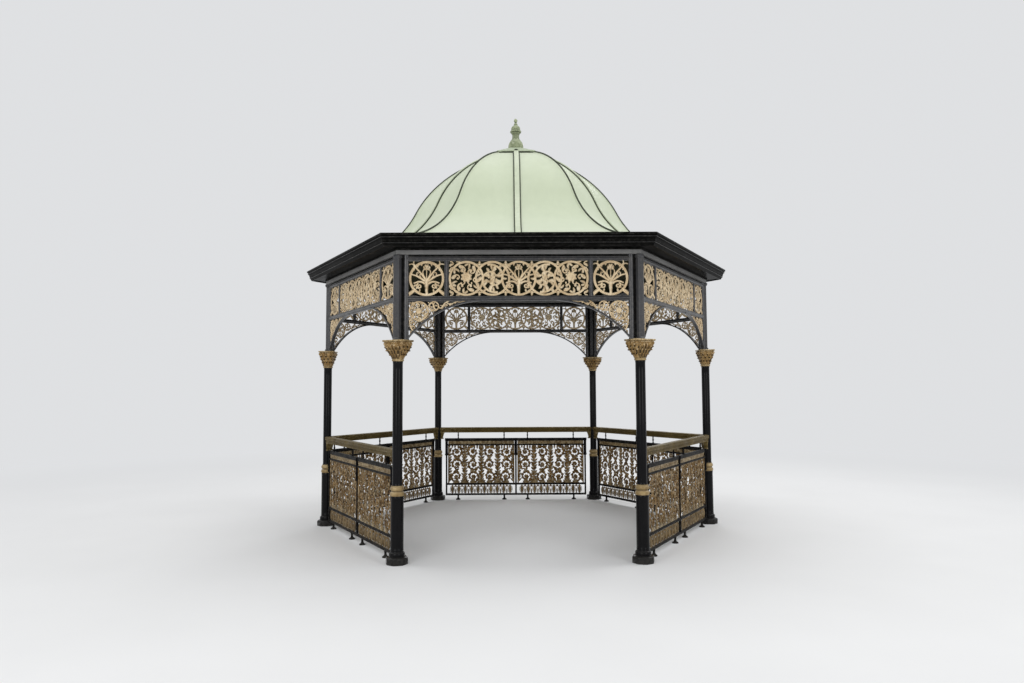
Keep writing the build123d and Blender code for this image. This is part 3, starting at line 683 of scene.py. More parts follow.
bm = bmesh.new()
bell = []
for level in range(capital["levels"]):
    share = level / (capital["levels"] - 1)
    bell.append([tuple(bellPoint(share, angle)) for angle in spreadAngles(capital["sides"])])
stackSections(bm, bell)
for leaves, low, high, halfWidth, lift, curl, turn in capital["rows"]:
    for angle in spreadAngles(leaves, turn):
        bellLeaf(bm, angle, low, high, halfWidth, lift, curl)
for angle in spreadAngles(capital["beads"], 0.5):
    spot = Matrix.Translation(bellPoint(capital["beadShare"], angle, 0.0035))
    bmesh.ops.create_icosphere(bm, subdivisions=1, radius=capital["beadRadius"], matrix=spot)
diagonal = math.atan2(capital["abacusTangent"], capital["abacusRadial"])
for angle in (diagonal, math.pi - diagonal, math.pi + diagonal, -diagonal):
    volute(bm, angle, *capital["cornerScroll"])
for angle in spreadAngles(capital["curls"], 0.5):
    spot = bellPoint(capital["curlShare"], angle, -0.002)
    volute(bm, angle, math.hypot(spot.x - axis[0], spot.y), spot.z, capital["curlRadius"],
           capital["curlThick"], 15)
for facing, reach in capital["rosettes"]:
    outward = outwardAt(math.radians(facing))
    rosette(bm, Vector((axis[0], 0, capital["rosetteHeight"])) + outward * reach, outward,
            capital["rosetteRadius"], capital["rosetteDepth"], capital["rosettePetals"])
keepPiece(bm, "leafCapitals", "capitalGold", ["column_capitals"], 45)
bm = bmesh.new()
lathe(bm, axis, capital["neck"], capital["neckSides"])
stackSections(bm, [squareSection(capital["abacusRadial"] + out, capital["abacusTangent"] + out, height,
                                 capital["abacusChamfer"]) for out, height in capital["abacus"]])
keepPiece(bm, "capitalRings", "collarGold", smooth=45)
print("capitals placed")


# frieze frames

friezeFrame = {
    "depth": 0.034, "jambCentre": 0.933, "jambWidth": 0.042, "bottom": 1.8155, "top": 2.5255,
    "overlap": 0.004,
    "mullionX": 0.6, "mullionWidth": 0.036, "mullionDepth": 0.03,
    "railLow": 2.139, "panelLow": 2.18, "panelHigh": 2.474, "railHigh": 2.51, "lowDepth": 0.032,
    "highDepth": 0.033,
    "webX": 0.9625, "webWidth": 0.021, "webDepth": 0.013, "filletDepth": 0.014,
    "rimRadius": 0.8245, "rimThickness": 0.0135, "rimDepth": 0.033, "rimCentre": (0.267, 1.316),
    "rimEndX": 0.914, "rimSegments": 34,
    # height, width
    "jambCap": [(2.502, 0.043), (2.5065, 0.0478), (2.515, 0.0485), (2.5255, 0.0485)], "capDepth": 0.042,
    "jambFoot": [(1.8155, 0.0485), (1.822, 0.0485), (1.829, 0.046), (1.833, 0.0425)], "footDepth": 0.04,
}


def withBack(front):
    # adds the back of a section, mirrored from its front
    return front + [(u, -v) for u, v in reversed(front) if v]


# a flat with a round bead and a fillet each side, and a plain round
moulded = withBack([(-0.5, 0.0), (-0.5, 0.3), (-0.44, 0.4), (-0.3, 0.4), (-0.26, 0.34), (-0.22, 0.4),
                    (-0.1, 0.5), (0.1, 0.5), (0.22, 0.4), (0.26, 0.34), (0.3, 0.4), (0.44, 0.4), (0.5, 0.3)])
rounded = withBack([(-0.5, 0.0), (-0.47, 0.22), (-0.36, 0.38), (-0.2, 0.47), (0.0, 0.5), (0.2, 0.47),
                    (0.36, 0.38), (0.47, 0.22), (0.5, 0.0)])


def taper(start, end, count):
    return [start + (end - start) * step / (count - 1) for step in range(count)]


def arcPoints(centre, radius, start, end, count):
    return [around(centre, radius, angle) for angle in taper(start, end, count)]


bm = bmesh.new()
values = friezeFrame
for side in (-1, 1):
    x = side * values["jambCentre"]
    sweepBay(bm, [(x, values["bottom"]), (x, values["top"])], rounded, values["jambWidth"], values["depth"])
    sweepUpright(bm, x, values["jambCap"], rounded, values["capDepth"])
    sweepUpright(bm, x, values["jambFoot"], rounded, values["footDepth"])
    x = side * values["mullionX"]
    mullion = [(x, values["panelLow"] - values["overlap"]), (x, values["panelHigh"] + values["overlap"])]
    sweepBay(bm, mullion, moulded, values["mullionWidth"], values["mullionDepth"])
inner = values["jambCentre"] - values["overlap"]
sweepRail(bm, inner, values["railLow"], values["panelLow"], moulded, values["lowDepth"])
sweepRail(bm, inner, values["panelHigh"], values["railHigh"], moulded, values["highDepth"])
rimSection = [(-0.5, -0.42), (-0.3, -0.5), (0.3, -0.5), (0.5, -0.42), (0.5, 0.42), (0.3, 0.5), (-0.3, 0.5),
              (-0.5, 0.42)]
rimMiddle = values["rimRadius"] + values["rimThickness"] / 2
rimEnd = math.degrees(math.acos((values["rimEndX"] - values["rimCentre"][0]) / rimMiddle))
rimArc = arcPoints(values["rimCentre"], rimMiddle, 90, rimEnd, values["rimSegments"])
for points in (rimArc, [(-x, z) for x, z in rimArc]):
    sweepBay(bm, points, rimSection, values["rimThickness"], values["rimDepth"])
keepPiece(bm, "friezeFrames", "ironBlack", nodesNamed("frieze_frame_"))
# black fillet between the upper rail and the beam, and black webs between posts and jambs: painted shade for
# the dark lines there
bm = bmesh.new()
sweepRail(bm, inner, values["railHigh"], values["top"], rounded, values["filletDepth"], 0.002)
for side in (-1, 1):
    x = side * values["webX"]
    web = [(x, values["bottom"] + 0.001), (x, 2.2), (x, values["top"] - 0.001)]
    sweepBay(bm, web, rounded, values["webWidth"], values["webDepth"])
keepPiece(bm, "friezeShadowFillets", "corniceBlack")
print("frieze frames placed")


# drawn ornament: every stroke is a path with a width along it

ridged = [(-0.5, 0.0), (-0.16, 0.5), (0.16, 0.5), (0.5, 0.0), (0.16, -0.5), (-0.16, -0.5)]
leafSection = [(-0.5, 0.0), (0.0, 0.5), (0.5, 0.0), (0.0, -0.5)]


def linePoints(start, end, count=2):
    return list(zip(taper(start[0], end[0], count), taper(start[1], end[1], count)))


def curvePoints(start, first, second, end, count=9):
    points = []
    for step in range(count):
        t = step / (count - 1)
        a, b, c, d = (1 - t) ** 3, 3 * (1 - t) ** 2 * t, 3 * (1 - t) * t ** 2, t ** 3
        points.append((a * start[0] + b * first[0] + c * second[0] + d * end[0],
                       a * start[1] + b * first[1] + c * second[1] + d * end[1]))
    return points


def spiralPoints(centre, outer, inner, start, turns, count):
    return [around(centre, outer + (inner - outer) * t ** 0.85, start + 360 * turns * t)
            for t in (step / (count - 1) for step in range(count))]


def leafPoints(base, angle, length, bend, count=6):
    # a path that leaves the base at an angle and bends by so many degrees on its way
    points = [base]
    for step in range(count - 1):
        points.append(around(points[-1], length / (count - 1), angle + bend * (step + 0.5) / (count - 1)))
    return points


def leafWidths(width, count, base=0.35):
    swell = [math.sin(math.pi * (0.12 + 0.88 * step / (count - 1))) ** 0.9 for step in range(count - 1)]
    tip = max(0.0, width * 0.08)
    return [max(width * 0.08, width * (base + (1 - base) * share)) for share in swell] + [tip]


def headingAt(path, index):
    (x, z), (nextX, nextZ) = path[index], path[index + 1]
    return math.degrees(math.atan2(nextZ - z, nextX - x))


def draw(strokes, points, width, depth=1.0, closed=False):
    strokes.append((points, width, depth, closed))


def drawRing(strokes, centre, radius, width, depth, count=16, last=345):
    draw(strokes, arcPoints(centre, radius, 0, last, count), width, depth, True)


def drawLeaf(strokes, base, angle, length, width, bend=0.0, depth=1.1, count=6):
    draw(strokes, leafPoints(base, angle, length, bend, count), leafWidths(width, count), depth)


def drawCurl(strokes, start, heading, length, curl, width):
    # a tendril that tightens into a hook, with a small knob at its end
    count = 13
    points = [start]
    angle = heading
    for step in range(count - 1):
        t = (step + 1) / (count - 1)
        angle += curl * (0.35 + 1.3 * t) / (count - 1)
        points.append(around(points[-1], length * (1.35 - 0.85 * t) / (count - 1), angle))
    draw(strokes, points, taper(width, width * 0.55, count))
    drawRing(strokes, points[-1], width * 0.34, width * 0.75, 1.15, 6, 300)


def mirrorStrokes(strokes):
    return [([(-x, z) for x, z in points], *rest) for points, *rest in strokes]


def moveStrokes(strokes, dx, dz):
    return [([(x + dx, z + dz) for x, z in points], *rest) for points, *rest in strokes]


def castStrokes(bm, strokes, depth, boldness):
    # the casting's thickness varies a little from stroke to stroke, so that faces don't coincide
    for index, (points, width, share, closed) in enumerate(strokes):
        varied = depth * (0.9 + 0.013 * (index % 9))
        deep = [varied * value for value in share] if isinstance(share, list) else varied * share
        wide = [boldness * value for value in width] if isinstance(width, list) else width * boldness
        isLeaf = isinstance(width, list) and len(points) < 8
        sweepBay(bm, points, leafSection if isLeaf else ridged, wide, deep, closed)


def doubleRing(strokes, centre, radius, band, sides=44):
    # two thin ridges joined by a sunk web
    for inset, width, depth in ((0.2, 0.44, 1.0), (0.8, 0.44, 0.95), (0.5, 0.62, 0.42)):
        drawRing(strokes, centre, radius - band * inset, band * width, depth, sides, 360 - 360 / sides)


def flower(strokes, centre, radius, petals, turn=0.0, ringed=True):
    for petal in range(petals):
        angle = turn + 360 / petals * petal
        base = around(centre, radius * 0.2, angle)
        drawLeaf(strokes, base, angle, radius * 0.8, radius * (4.0 / petals), 0, 1.0, 5)
    drawRing(strokes, centre, radius * 0.17, radius * 0.3, 1.35, 6, 300)
    if ringed:
        drawRing(strokes, centre, radius * 0.62, radius * 0.14, 0.6)


def ringScrolls(strokes, centre, firstAngle, rows):
    # every 60 degrees a scroll that rolls inward off a ring, with leaves on its back; rows: what
    # is drawn, its lean, reach and heading, and the rest of its own values
    for angle in range(firstAngle, firstAngle + 360, 60):
        for kind, lean, reach, heading, *rest in rows:
            kind(strokes, around(centre, reach, angle + lean), angle + heading, *rest)


def treeOrnament(size):
    # the branching tree inside a ring, drawn about (0, 0) for a ring of this radius
    half = []
    for points, widths in (
            # two long arms that reach the ring
            (curvePoints((0.05, -0.1), (0.2, 0.2), (0.46, 0.46), (0.73, 0.75), 9), taper(0.115, 0.08, 9)),
            # inner lines up to the bud
            (curvePoints((0.06, -0.02), (0.2, 0.2), (0.3, 0.42), (0.12, 0.54), 8), taper(0.075, 0.05, 8)),
            # side arms
            (curvePoints((0.1, -0.14), (0.34, 0.02), (0.55, 0.2), (0.86, 0.23), 9), taper(0.12, 0.07, 9)),
            # lower branches, which roll over into the volutes
            (curvePoints((0.1, -0.3), (0.3, -0.12), (0.5, -0.16), (0.72, -0.27), 8), taper(0.11, 0.075, 8)),
            (spiralPoints((0.415, -0.425), 0.16, 0.045, 70, -1.15, 18), taper(0.09, 0.06, 18)),
            (curvePoints((0.3, 0.03), (0.42, 0.14), (0.4, 0.28), (0.29, 0.24), 7), taper(0.075, 0.05, 7)),
            (curvePoints((0.55, 0.19), (0.6, 0.3), (0.5, 0.4), (0.44, 0.3), 7), taper(0.07, 0.045, 7))):
        draw(half, [(x * size, z * size) for x, z in points], [width * size for width in widths])
    for x, z, angle, length, width, bend in (
            (0.05, 0.5, 36, 0.26, 0.12, 60), (0.0, 0.58, 90, 0.26, 0.12, -50), (0.7, 0.45, 60, 0.2, 0.1, 40),
            (0.6, -0.55, 150, 0.24, 0.1, -40), (0.74, -0.42, 170, 0.2, 0.09, -40),
            (0.42, -0.76, 120, 0.2, 0.09, -40),
            (0.24, 0.9, 300, 0.2, 0.1, -40), (0.5, 0.8, 290, 0.18, 0.09, -50)):
        drawLeaf(half, (x * size, z * size), angle, length * size, width * size, bend)
    strokes = half + mirrorStrokes(half)
    draw(strokes, [(0, z * size) for z in (-0.98, -0.75, -0.5, -0.35, -0.2, -0.02)],
         [width * size for width in (0.14, 0.125, 0.15, 0.2, 0.24, 0.12)], 1.15)
    draw(strokes, linePoints((0, -0.05 * size), (0, 0.56 * size), 3), 0.05 * size)
    drawLeaf(strokes, (0, 0.52 * size), 90, 0.28 * size, 0.13 * size, 0, 1.2)
    return strokes


friezeTracery = {
    "depth": 0.0118, "middle": 2.327, "ringRadius": 0.147, "ringBand": 0.0175, "pitch": 0.2175,
    "sidePanelX": 0.765, "sideBand": 0.0195, "rosette": 0.05, "boldness": 1.3,
    # place and radius of the two spandrel rings
    "bigRing": (0.8285, 2.0565, 0.0825), "smallRing": (0.7035, 2.0955, 0.0425),
    "spandrelTop": 2.134, "vineStart": 0.668, "vineEnd": 0.36, "vineStep": 0.011,
}
tracery = friezeTracery
ringRadius = tracery["ringRadius"]
strokes = []
for step in range(-2, 3):
    doubleRing(strokes, (step * tracery["pitch"], 0), ringRadius, tracery["ringBand"])
strokes += treeOrnament(ringRadius)
half = []
# rings with a flower, at both ends of the middle panel
middle = 2 * tracery["pitch"]
centre = (middle, 0.012)
flower(half, centre, tracery["rosette"], 8, 22.5)
drawRing(half, centre, 0.026, 0.022, 1.1)
ringScrolls(half, (middle, 0), 0, (
    (drawCurl, 0, 0.122, 112, 0.12, 235, 0.0135), (drawLeaf, 0, 0.122, 168, 0.052, 0.02, -60),
    (drawLeaf, 24, 0.104, 62, 0.04, 0.017, 60), (drawLeaf, -20, 0.126, 130, 0.05, 0.0165, 55)))
for up in (-1, 1):
    for side in (-1, 1):
        # two short curls above and below join the rosette to the scrolls
        start = (middle + side * 0.012, centre[1] + up * 0.042)
        drawCurl(half, start, up * (90 - side * 12), 0.062, -up * side * 200, 0.0095)
# rings with a rolled acanthus stem between them
centre = (tracery["pitch"], 0)
for start in (250, 70):
    # two stems from opposite sides roll into one swirl
    stem = spiralPoints(centre, 0.124, 0.046, start, 0.62, 24)
    draw(half, stem, taper(0.0175, 0.0125, 24))
    for index in (3, 9, 15, 21):
        heading = headingAt(stem, index)
        drawLeaf(half, stem[index], heading + 52, 0.074 - 0.0012 * index, 0.027, 80)
        drawLeaf(half, stem[index - 2], heading + 14, 0.05, 0.018, 70)
        if index < 20:
            drawLeaf(half, stem[index + 2], heading - 40, 0.042, 0.018, -80)
    drawCurl(half, stem[22], headingAt(stem, 22), 0.06, 200, 0.0125)
flower(half, centre, 0.024, 5, 18, False)
# curls above and below the places where neighbouring rings cross, and beside the mullions
for step in (0, 1):
    x = (step + 0.5) * tracery["pitch"]
    for up in (-1, 1):
        drawLeaf(half, (x, up * 0.112), up * 90, 0.036, 0.017, 0)
        for side in (-1, 1):
            drawCurl(half, (x, up * 0.11), up * (90 - side * 40), 0.052, -up * side * 190, 0.008)
for up in (-1, 1):
    drawCurl(half, (0.575, up * 0.055), up * 92, 0.075, up * 150, 0.0115)
    drawCurl(half, (0.57, up * 0.142), up * 178, 0.06, up * 200, 0.01)
    drawLeaf(half, (0.574, up * 0.1), up * 118, 0.04, 0.017, up * 40)
    drawLeaf(half, (0.52, up * 0.142), up * 200, 0.04, 0.013, -up * 30)


def onRing(*places):
    # places given as shares of the ring's radius
    return [(x * ringRadius, z * ringRadius) for x, z in places]


# side panel
sideStrokes = []
doubleRing(sideStrokes, (0, 0), ringRadius, tracery["sideBand"])
sideStrokes += treeOrnament(ringRadius)
corners = []
draw(corners, linePoints(*onRing((0.62, 0.68), (0.74, 0.82)), 3), 0.015)
for places in (((0.72, 0.78), (0.8, 0.86), (0.9, 0.84), (1.0, 0.8)),
               ((0.72, 0.78), (0.76, 0.86), (0.74, 0.93), (0.71, 1.0))):
    draw(corners, curvePoints(*onRing(*places), 6), taper(0.011, 0.008, 6))
draw(corners, linePoints(*onRing((0.62, -0.6), (1.0, -0.88)), 3), 0.021, 1.1)
draw(corners, curvePoints(*onRing((0.68, -0.72), (0.8, -0.82), (0.9, -0.92), (0.99, -0.97)), 5), 0.008)
sideStrokes += corners + mirrorStrokes(corners)
half += moveStrokes(sideStrokes, tracery["sidePanelX"], 0)
strokes += half + mirrorStrokes(half)
strokes = moveStrokes(strokes, 0, tracery["middle"])
# spandrels
half = []
x, z, radius = tracery["bigRing"]
doubleRing(half, (x, z), radius, 0.0125, 34)
flower(half, (x, z), 0.031, 8, 22.5)
drawRing(half, (x, z), 0.0155, 0.013, 1.1, 14)
ringScrolls(half, (x, z), 15, (
    (drawLeaf, 0, 0.069, 168, 0.03, 0.0125, -60), (drawCurl, 0, 0.069, 112, 0.068, 235, 0.0088),
    (drawLeaf, 24, 0.058, 62, 0.024, 0.0105, 60), (drawLeaf, -20, 0.07, 130, 0.028, 0.01, 55)))
x, z, radius = tracery["smallRing"]
doubleRing(half, (x, z), radius, 0.0095, 26)
draw(half, curvePoints((x + 0.03, z + 0.024), (x - 0.01, z + 0.045), (x + 0.014, z - 0.045),
                       (x - 0.028, z - 0.022), 12),
     leafWidths(0.013, 12, 0.6))
for angle in (70, 150, 250, 330):
    drawLeaf(half, around((x, z), 0.006, angle), angle, 0.03, 0.011, 80)


def rimHeight(place):
    x, z = friezeFrame["rimCentre"]
    rimTop = friezeFrame["rimRadius"] + friezeFrame["rimThickness"]
    return z + math.sqrt(rimTop ** 2 - (place - x) ** 2)


# a wavy vine that thins out towards the crown
vine = []
top = tracery["spandrelTop"]
place = tracery["vineStart"]
while place > tracery["vineEnd"]:
    low = rimHeight(place) + 0.004
    phase = (place - tracery["vineStart"]) * 74
    vine.append((place, (low + top) / 2 + 0.33 * (top - low) * math.sin(phase)))
    place -= tracery["vineStep"]
draw(half, vine, taper(0.0095, 0.005, len(vine)))
for index in range(2, len(vine) - 2, 2):
    room = top - rimHeight(vine[index][0])
    up = 1 if index % 4 else -1
    drawLeaf(half, vine[index], 180 - up * 58, min(0.03, room * 0.62), min(0.013, room * 0.3), up * 70)
    drawLeaf(half, vine[index], 180 + up * 40, min(0.022, room * 0.4), min(0.01, room * 0.22), -up * 60)
for place in (0.64, 0.6, 0.56, 0.52):
    room = top - rimHeight(place)
    drawCurl(half, (place + 0.01, rimHeight(place) + room * 0.5), 150, room * 0.75, 240, 0.0065)
# fillers between the rings, the rim and the jamb
for start, heading, length, curl in (
        ((0.755, 2.045), 262, 0.05, 150), ((0.745, 2.06), 215, 0.045, -150),
        ((0.752, 2.128), 200, 0.04, 160),
        ((0.90, 2.128), 225, 0.03, -120), ((0.8, 1.985), 300, 0.05, 120), ((0.77, 2.0), 240, 0.035, -140)):
    drawCurl(half, start, heading, length, curl, 0.008)
draw(half, curvePoints((0.905, 2.0), (0.885, 1.965), (0.86, 1.97), (0.862, 1.94), 8), taper(0.009, 0.008, 8))
draw(half, curvePoints((0.906, 1.985), (0.902, 1.94), (0.9, 1.9), (0.868, 1.893), 10),
     taper(0.011, 0.008, 10))
draw(half, spiralPoints((0.877, 1.913), 0.021, 0.005, 250, -1.15, 16), taper(0.008, 0.0055, 16))
for base, angle, bend in (((0.902, 1.955), 150, 70), ((0.9, 1.93), 190, -60), ((0.903, 1.975), 120, 60),
                          ((0.89, 1.895), 300, -40)):
    drawLeaf(half, base, angle, 0.032, 0.012, bend)
strokes += half + mirrorStrokes(half)
# three bays in each piece, which keeps both light enough
for name, firstAngle, bays in (("frontFriezeScrollwork", -60.0, ("front_left", "front", "front_right")),
                               ("backFriezeScrollwork", 120.0, ("back_right", "back", "back_left"))):
    bm = newOrnament()
    castStrokes(bm, strokes, tracery["depth"], tracery["boldness"])
    nodes = ["frieze_tracery_" + bay for bay in bays]
    keepPiece(bm, name, "traceryGold", nodes, 30, 0, (3, firstAngle))
print("frieze tracery placed, strokes in a bay:", len(strokes))


# handrails

handrail = {
    "end": 0.9735, "bracketStart": 0.9585, "bracketOverlap": 0.012, "chamfer": 0.003,
    # half width, height
    "profile": [(0.0, 0.853), (0.0225, 0.853), (0.025, 0.855), (0.025, 0.8605), (0.0222, 0.863),
                (0.0222, 0.8655), (0.0248, 0.8685), (0.0248, 0.8765), (0.0232, 0.8795), (0.0262, 0.883),
                (0.0302, 0.8845), (0.032, 0.889), (0.032, 0.8965), (0.0298, 0.9), (0.0298, 0.902),
                (0.0312, 0.9045), (0.0312, 0.911), (0.0285, 0.9155), (0.021, 0.9185), (0.01, 0.9199),
                (0.0, 0.92)],
    # length, half width, height
    "bracket": [(0.026, 0.018, 0.772), (0.03, 0.022, 0.7735), (0.031, 0.0235, 0.779), (0.028, 0.021, 0.784),
                (0.0215, 0.017, 0.788), (0.024, 0.0185, 0.8), (0.029, 0.0205, 0.82), (0.0335, 0.0215, 0.834),
                (0.036, 0.0215, 0.839), (0.036, 0.0215, 0.8425), (0.0395, 0.022, 0.8445),
                (0.04, 0.022, 0.8535)],
    # x, out from the middle, height, then radius, depth and petals
    "rosette": (0.9415, 0.019, 0.819, 0.0105, 0.005, 6),
}


def faceRosettes(bm, place, out, height, *shape):
    # a rosette on the outer and one on the inner face of the bay
    for face in (-1, 1):
        rosette(bm, Vector((place, -bayApothem + face * out, height)), Vector((0, face, 0)), *shape)


bm = bmesh.new()
outline = handrail["profile"]
outline = outline + [(-y, z) for y, z in reversed(outline[1:-1])]
stackSections(bm, [[(x, -bayApothem - y, z) for y, z in outline]
                   for x in (-handrail["end"], -0.5, 0.0, 0.5, handrail["end"])])
cut = handrail["chamfer"]
for side in (-1, 1):
    layers = []
    for length, wide, height in handrail["bracket"]:
        low, high = sorted((side * (handrail["bracketStart"] + handrail["bracketOverlap"]),
                            side * (handrail["bracketStart"] - length)))
        layers.append([(x, y, height) for x, y in (
            (low, -bayApothem - wide + cut), (low + cut, -bayApothem - wide),
            (high - cut, -bayApothem - wide), (high, -bayApothem - wide + cut),
            (high, -bayApothem + wide - cut), (high - cut, -bayApothem + wide),
            (low + cut, -bayApothem + wide), (low, -bayApothem + wide - cut))])
    stackSections(bm, layers)
    place, *rest = handrail["rosette"]
    faceRosettes(bm, side * place, *rest)
keepPiece(bm, "mouldedHandrails", "handrailGold", ["handrails"], 32,
          copies=plan["railings"])
print("handrails placed")


# railing frames

railing = {
    "endX": 0.89, "rails": ((0.055, 0.078), (0.185, 0.209), (0.685, 0.703), (0.745, 0.780)), "depth": 0.024,
    "stileLow": 0.055, "stileHigh": 0.56, "stileWidth": 0.022, "stileDepth": 1.04, "struts": (0.15, 0.74),
    # height, and width and depth together
    "stileTop": [(0.559, 0.026), (0.562, 0.036), (0.57, 0.0435), (0.578, 0.0435), (0.583, 0.037),
                 (0.6, 0.035), (0.66, 0.0345), (0.7, 0.0345), (0.742, 0.035), (0.748, 0.041), (0.757, 0.044),
                 (0.776, 0.044), (0.78, 0.041)],
    # out from the middle, height, then radius, depth and petals
    "rosette": (0.0165, 0.63, 0.0135, 0.006, 6),
    "strut": [(0.0098, 0.779), (0.0098, 0.7845), (0.0072, 0.788), (0.006, 0.795), (0.0075, 0.806),
              (0.0096, 0.8155), (0.0096, 0.8195), (0.0075, 0.829), (0.006, 0.84), (0.0075, 0.846),
              (0.0098, 0.8495), (0.0098, 0.8535)],
    "foot": [(0.0285, 0.0), (0.029, 0.003), (0.0285, 0.0085), (0.024, 0.012), (0.0165, 0.016),
             (0.012, 0.0225), (0.0102, 0.032), (0.0105, 0.044), (0.0118, 0.049), (0.0118, 0.0555)],
}
railSection = withBack([(-0.5, 0.0), (-0.5, 0.36), (-0.36, 0.44), (-0.3, 0.5), (0.3, 0.5), (0.36, 0.44),
                        (0.5, 0.36)])
bm = bmesh.new()
for low, high in railing["rails"]:
    sweepRail(bm, railing["endX"], low, high, railSection, railing["depth"])
for x in (-railing["endX"], 0.0, railing["endX"]):
    stile = [(x, railing["stileLow"]), (x, railing["stileHigh"])]
    sweepBay(bm, stile, rounded, railing["stileWidth"], railing["depth"] * railing["stileDepth"])
    sweepUpright(bm, x, railing["stileTop"], rounded, [width for _, width in railing["stileTop"]])
    faceRosettes(bm, x, *railing["rosette"])
for place in railing["struts"]:
    for side in (-1, 1):
        centre = (side * place, -bayApothem, 0.0)
        lathe(bm, centre, railing["strut"], 14)
        lathe(bm, centre, railing["foot"], 18)
keepPiece(bm, "railingFrames", "railingBlack", nodesNamed("railing_frame_"),
          copies=plan["railings"])
print("railing frames placed")


# railing panels

panel = {
    "left": 0.022, "right": 0.868, "low": 0.209, "high": 0.685, "depth": 0.0098,
    "columns": (-0.318, -0.106, 0.106, 0.318), "rows": (-0.154, 0.0, 0.154), "scroll": 0.079, "stem": 0.212,
    "leafStep": 0.036, "railLeaves": 24, "boldness": 1.42, "spindles": 10, "pitch": 0.082, "beads": 26,
    "seed": 7,
    # height, width and depth of its two lines and of the web between them
    "beadStrip": ((0.7075, 0.0068, 1.15), (0.7405, 0.0068, 1.15), (0.724, 0.026, 0.35)),
    "beadLow": 0.7135, "beadHigh": 0.7345,
    "beadWidths": [0.004, 0.011, 0.015, 0.011, 0.004], "beadDepths": [0.4, 1.0, 1.35, 1.0, 0.4],
    "ovalLow": 0.0765, "ovalHigh": 0.187, "ovalRim": (0.029, 0.046), "ovalMiddle": 0.131,
    "ovalWidths": [0.007, 0.01, 0.018, 0.026, 0.03, 0.03, 0.026, 0.018, 0.01, 0.008],
    "ovalDepths": [0.7, 0.9, 1.1, 1.3, 1.45, 1.45, 1.3, 1.1, 0.9, 0.7],
}
panelMiddle = (panel["left"] + panel["right"]) / 2
latticeMiddle = (panel["low"] + panel["high"]) / 2
rnd = random.Random(panel["seed"])


def leafyScroll(strokes, centre, radius, start, turns):
    # a stem rolled into a spiral, with leaves on both sides of it and a flower in its eye
    count = 22
    path = spiralPoints(centre, radius, radius * 0.26, start, turns, count)
    draw(strokes, path, taper(0.0165, 0.0105, count))
    roll = math.copysign(1, turns)
    for index in range(1, count - 3, 2):
        heading = headingAt(path, index)
        shrink = 1 - 0.55 * index / count
        drawLeaf(strokes, path[index], heading - roll * 48, 0.046 * shrink, 0.018 * shrink, roll * 35,
                 count=4)
        drawLeaf(strokes, path[index], heading + roll * 52, 0.034 * shrink, 0.016 * shrink, -roll * 30,
                 count=4)
    flower(strokes, centre, radius * 0.3, 5, rnd.uniform(0, 70), False)


def leafFan(strokes, x, z, reach, width, low, high, count=7):
    # a broad palm of leaves that spreads upward, kept between two places along the bay
    for step in range(count):
        lean = (step - (count - 1) / 2) / ((count - 1) / 2)
        points = leafPoints((x, z), 90 - lean * 74, reach * (1 - 0.2 * abs(lean)), -lean * 22, 5)
        if all(low <= place <= high for place, _ in points):
            draw(strokes, points, leafWidths(width, 5), 1.35)


lattice = []
pale = []
# leafy scrolls in rows and columns, mirrored about the middle of the half panel
for across, x in enumerate(panel["columns"]):
    for row, z in enumerate(panel["rows"]):
        roll = (1 if x > 0 else -1) * (1 if (across + row) % 2 else -1)
        start = (250 if row == 0 else 110 if row == 2 else 200) + (0 if x > 0 else 40)
        leafyScroll(lattice, (panelMiddle + x, latticeMiddle + z), panel["scroll"], start, roll * 1.35)
# upright stems with pairs of rising leaves between the columns
for step in range(-2, 3):
    x = panelMiddle + min(max(step * panel["stem"], -0.417), 0.417)
    draw(lattice, linePoints((x, panel["low"]), (x, panel["high"]), 3), 0.012, 1.1)
    z = panel["low"] + 0.018
    while z < panel["high"] - 0.03:
        for side in (-1, 1):
            if panel["left"] < x + side * 0.036 < panel["right"]:
                angle = 90 - side * rnd.uniform(28, 44)
                drawLeaf(lattice, (x, z), angle, rnd.uniform(0.05, 0.06), 0.02, -side * 22, count=4)
        z += panel["leafStep"]
# small leaves that fill the corners between four scrolls, and along the rails
for x in panel["columns"]:
    for z in (-0.077, 0.077):
        for angle in range(45, 405, 90):
            turned = angle + rnd.uniform(-14, 14)
            drawLeaf(lattice, (panelMiddle + x, latticeMiddle + z), turned, 0.044, 0.018, 20, count=4)
leaves = panel["railLeaves"]
for step in range(leaves):
    x = panel["left"] + 0.02 + step * (panel["right"] - panel["left"] - 0.04) / (leaves - 1)
    drawLeaf(lattice, (x, panel["high"] + 0.001), 270 + rnd.uniform(-16, 16), rnd.uniform(0.03, 0.052),
             0.017, rnd.uniform(-30, 30), 1.0, 4)
# broad palms along the foot
for step in range(-4, 5):
    x = panelMiddle + step * panel["stem"] / 2
    reach = 0.08 if step % 2 == 0 else 0.056
    leafFan(pale, x, panel["low"] - 0.002, reach, 0.019, panel["left"] + 0.004, panel["right"] - 0.004)
# bead strip between the two upper rails: two lines with beads on a sunk web
for z, width, depth in panel["beadStrip"]:
    draw(pale, linePoints((panel["left"], z), (panel["right"], z), 2), width, depth)
for bead in range(panel["beads"]):
    x = panel["left"] + (bead + 0.5) * (panel["right"] - panel["left"]) / panel["beads"]
    draw(pale, linePoints((x, panel["beadLow"]), (x, panel["beadHigh"]), 5), panel["beadWidths"],
         panel["beadDepths"])
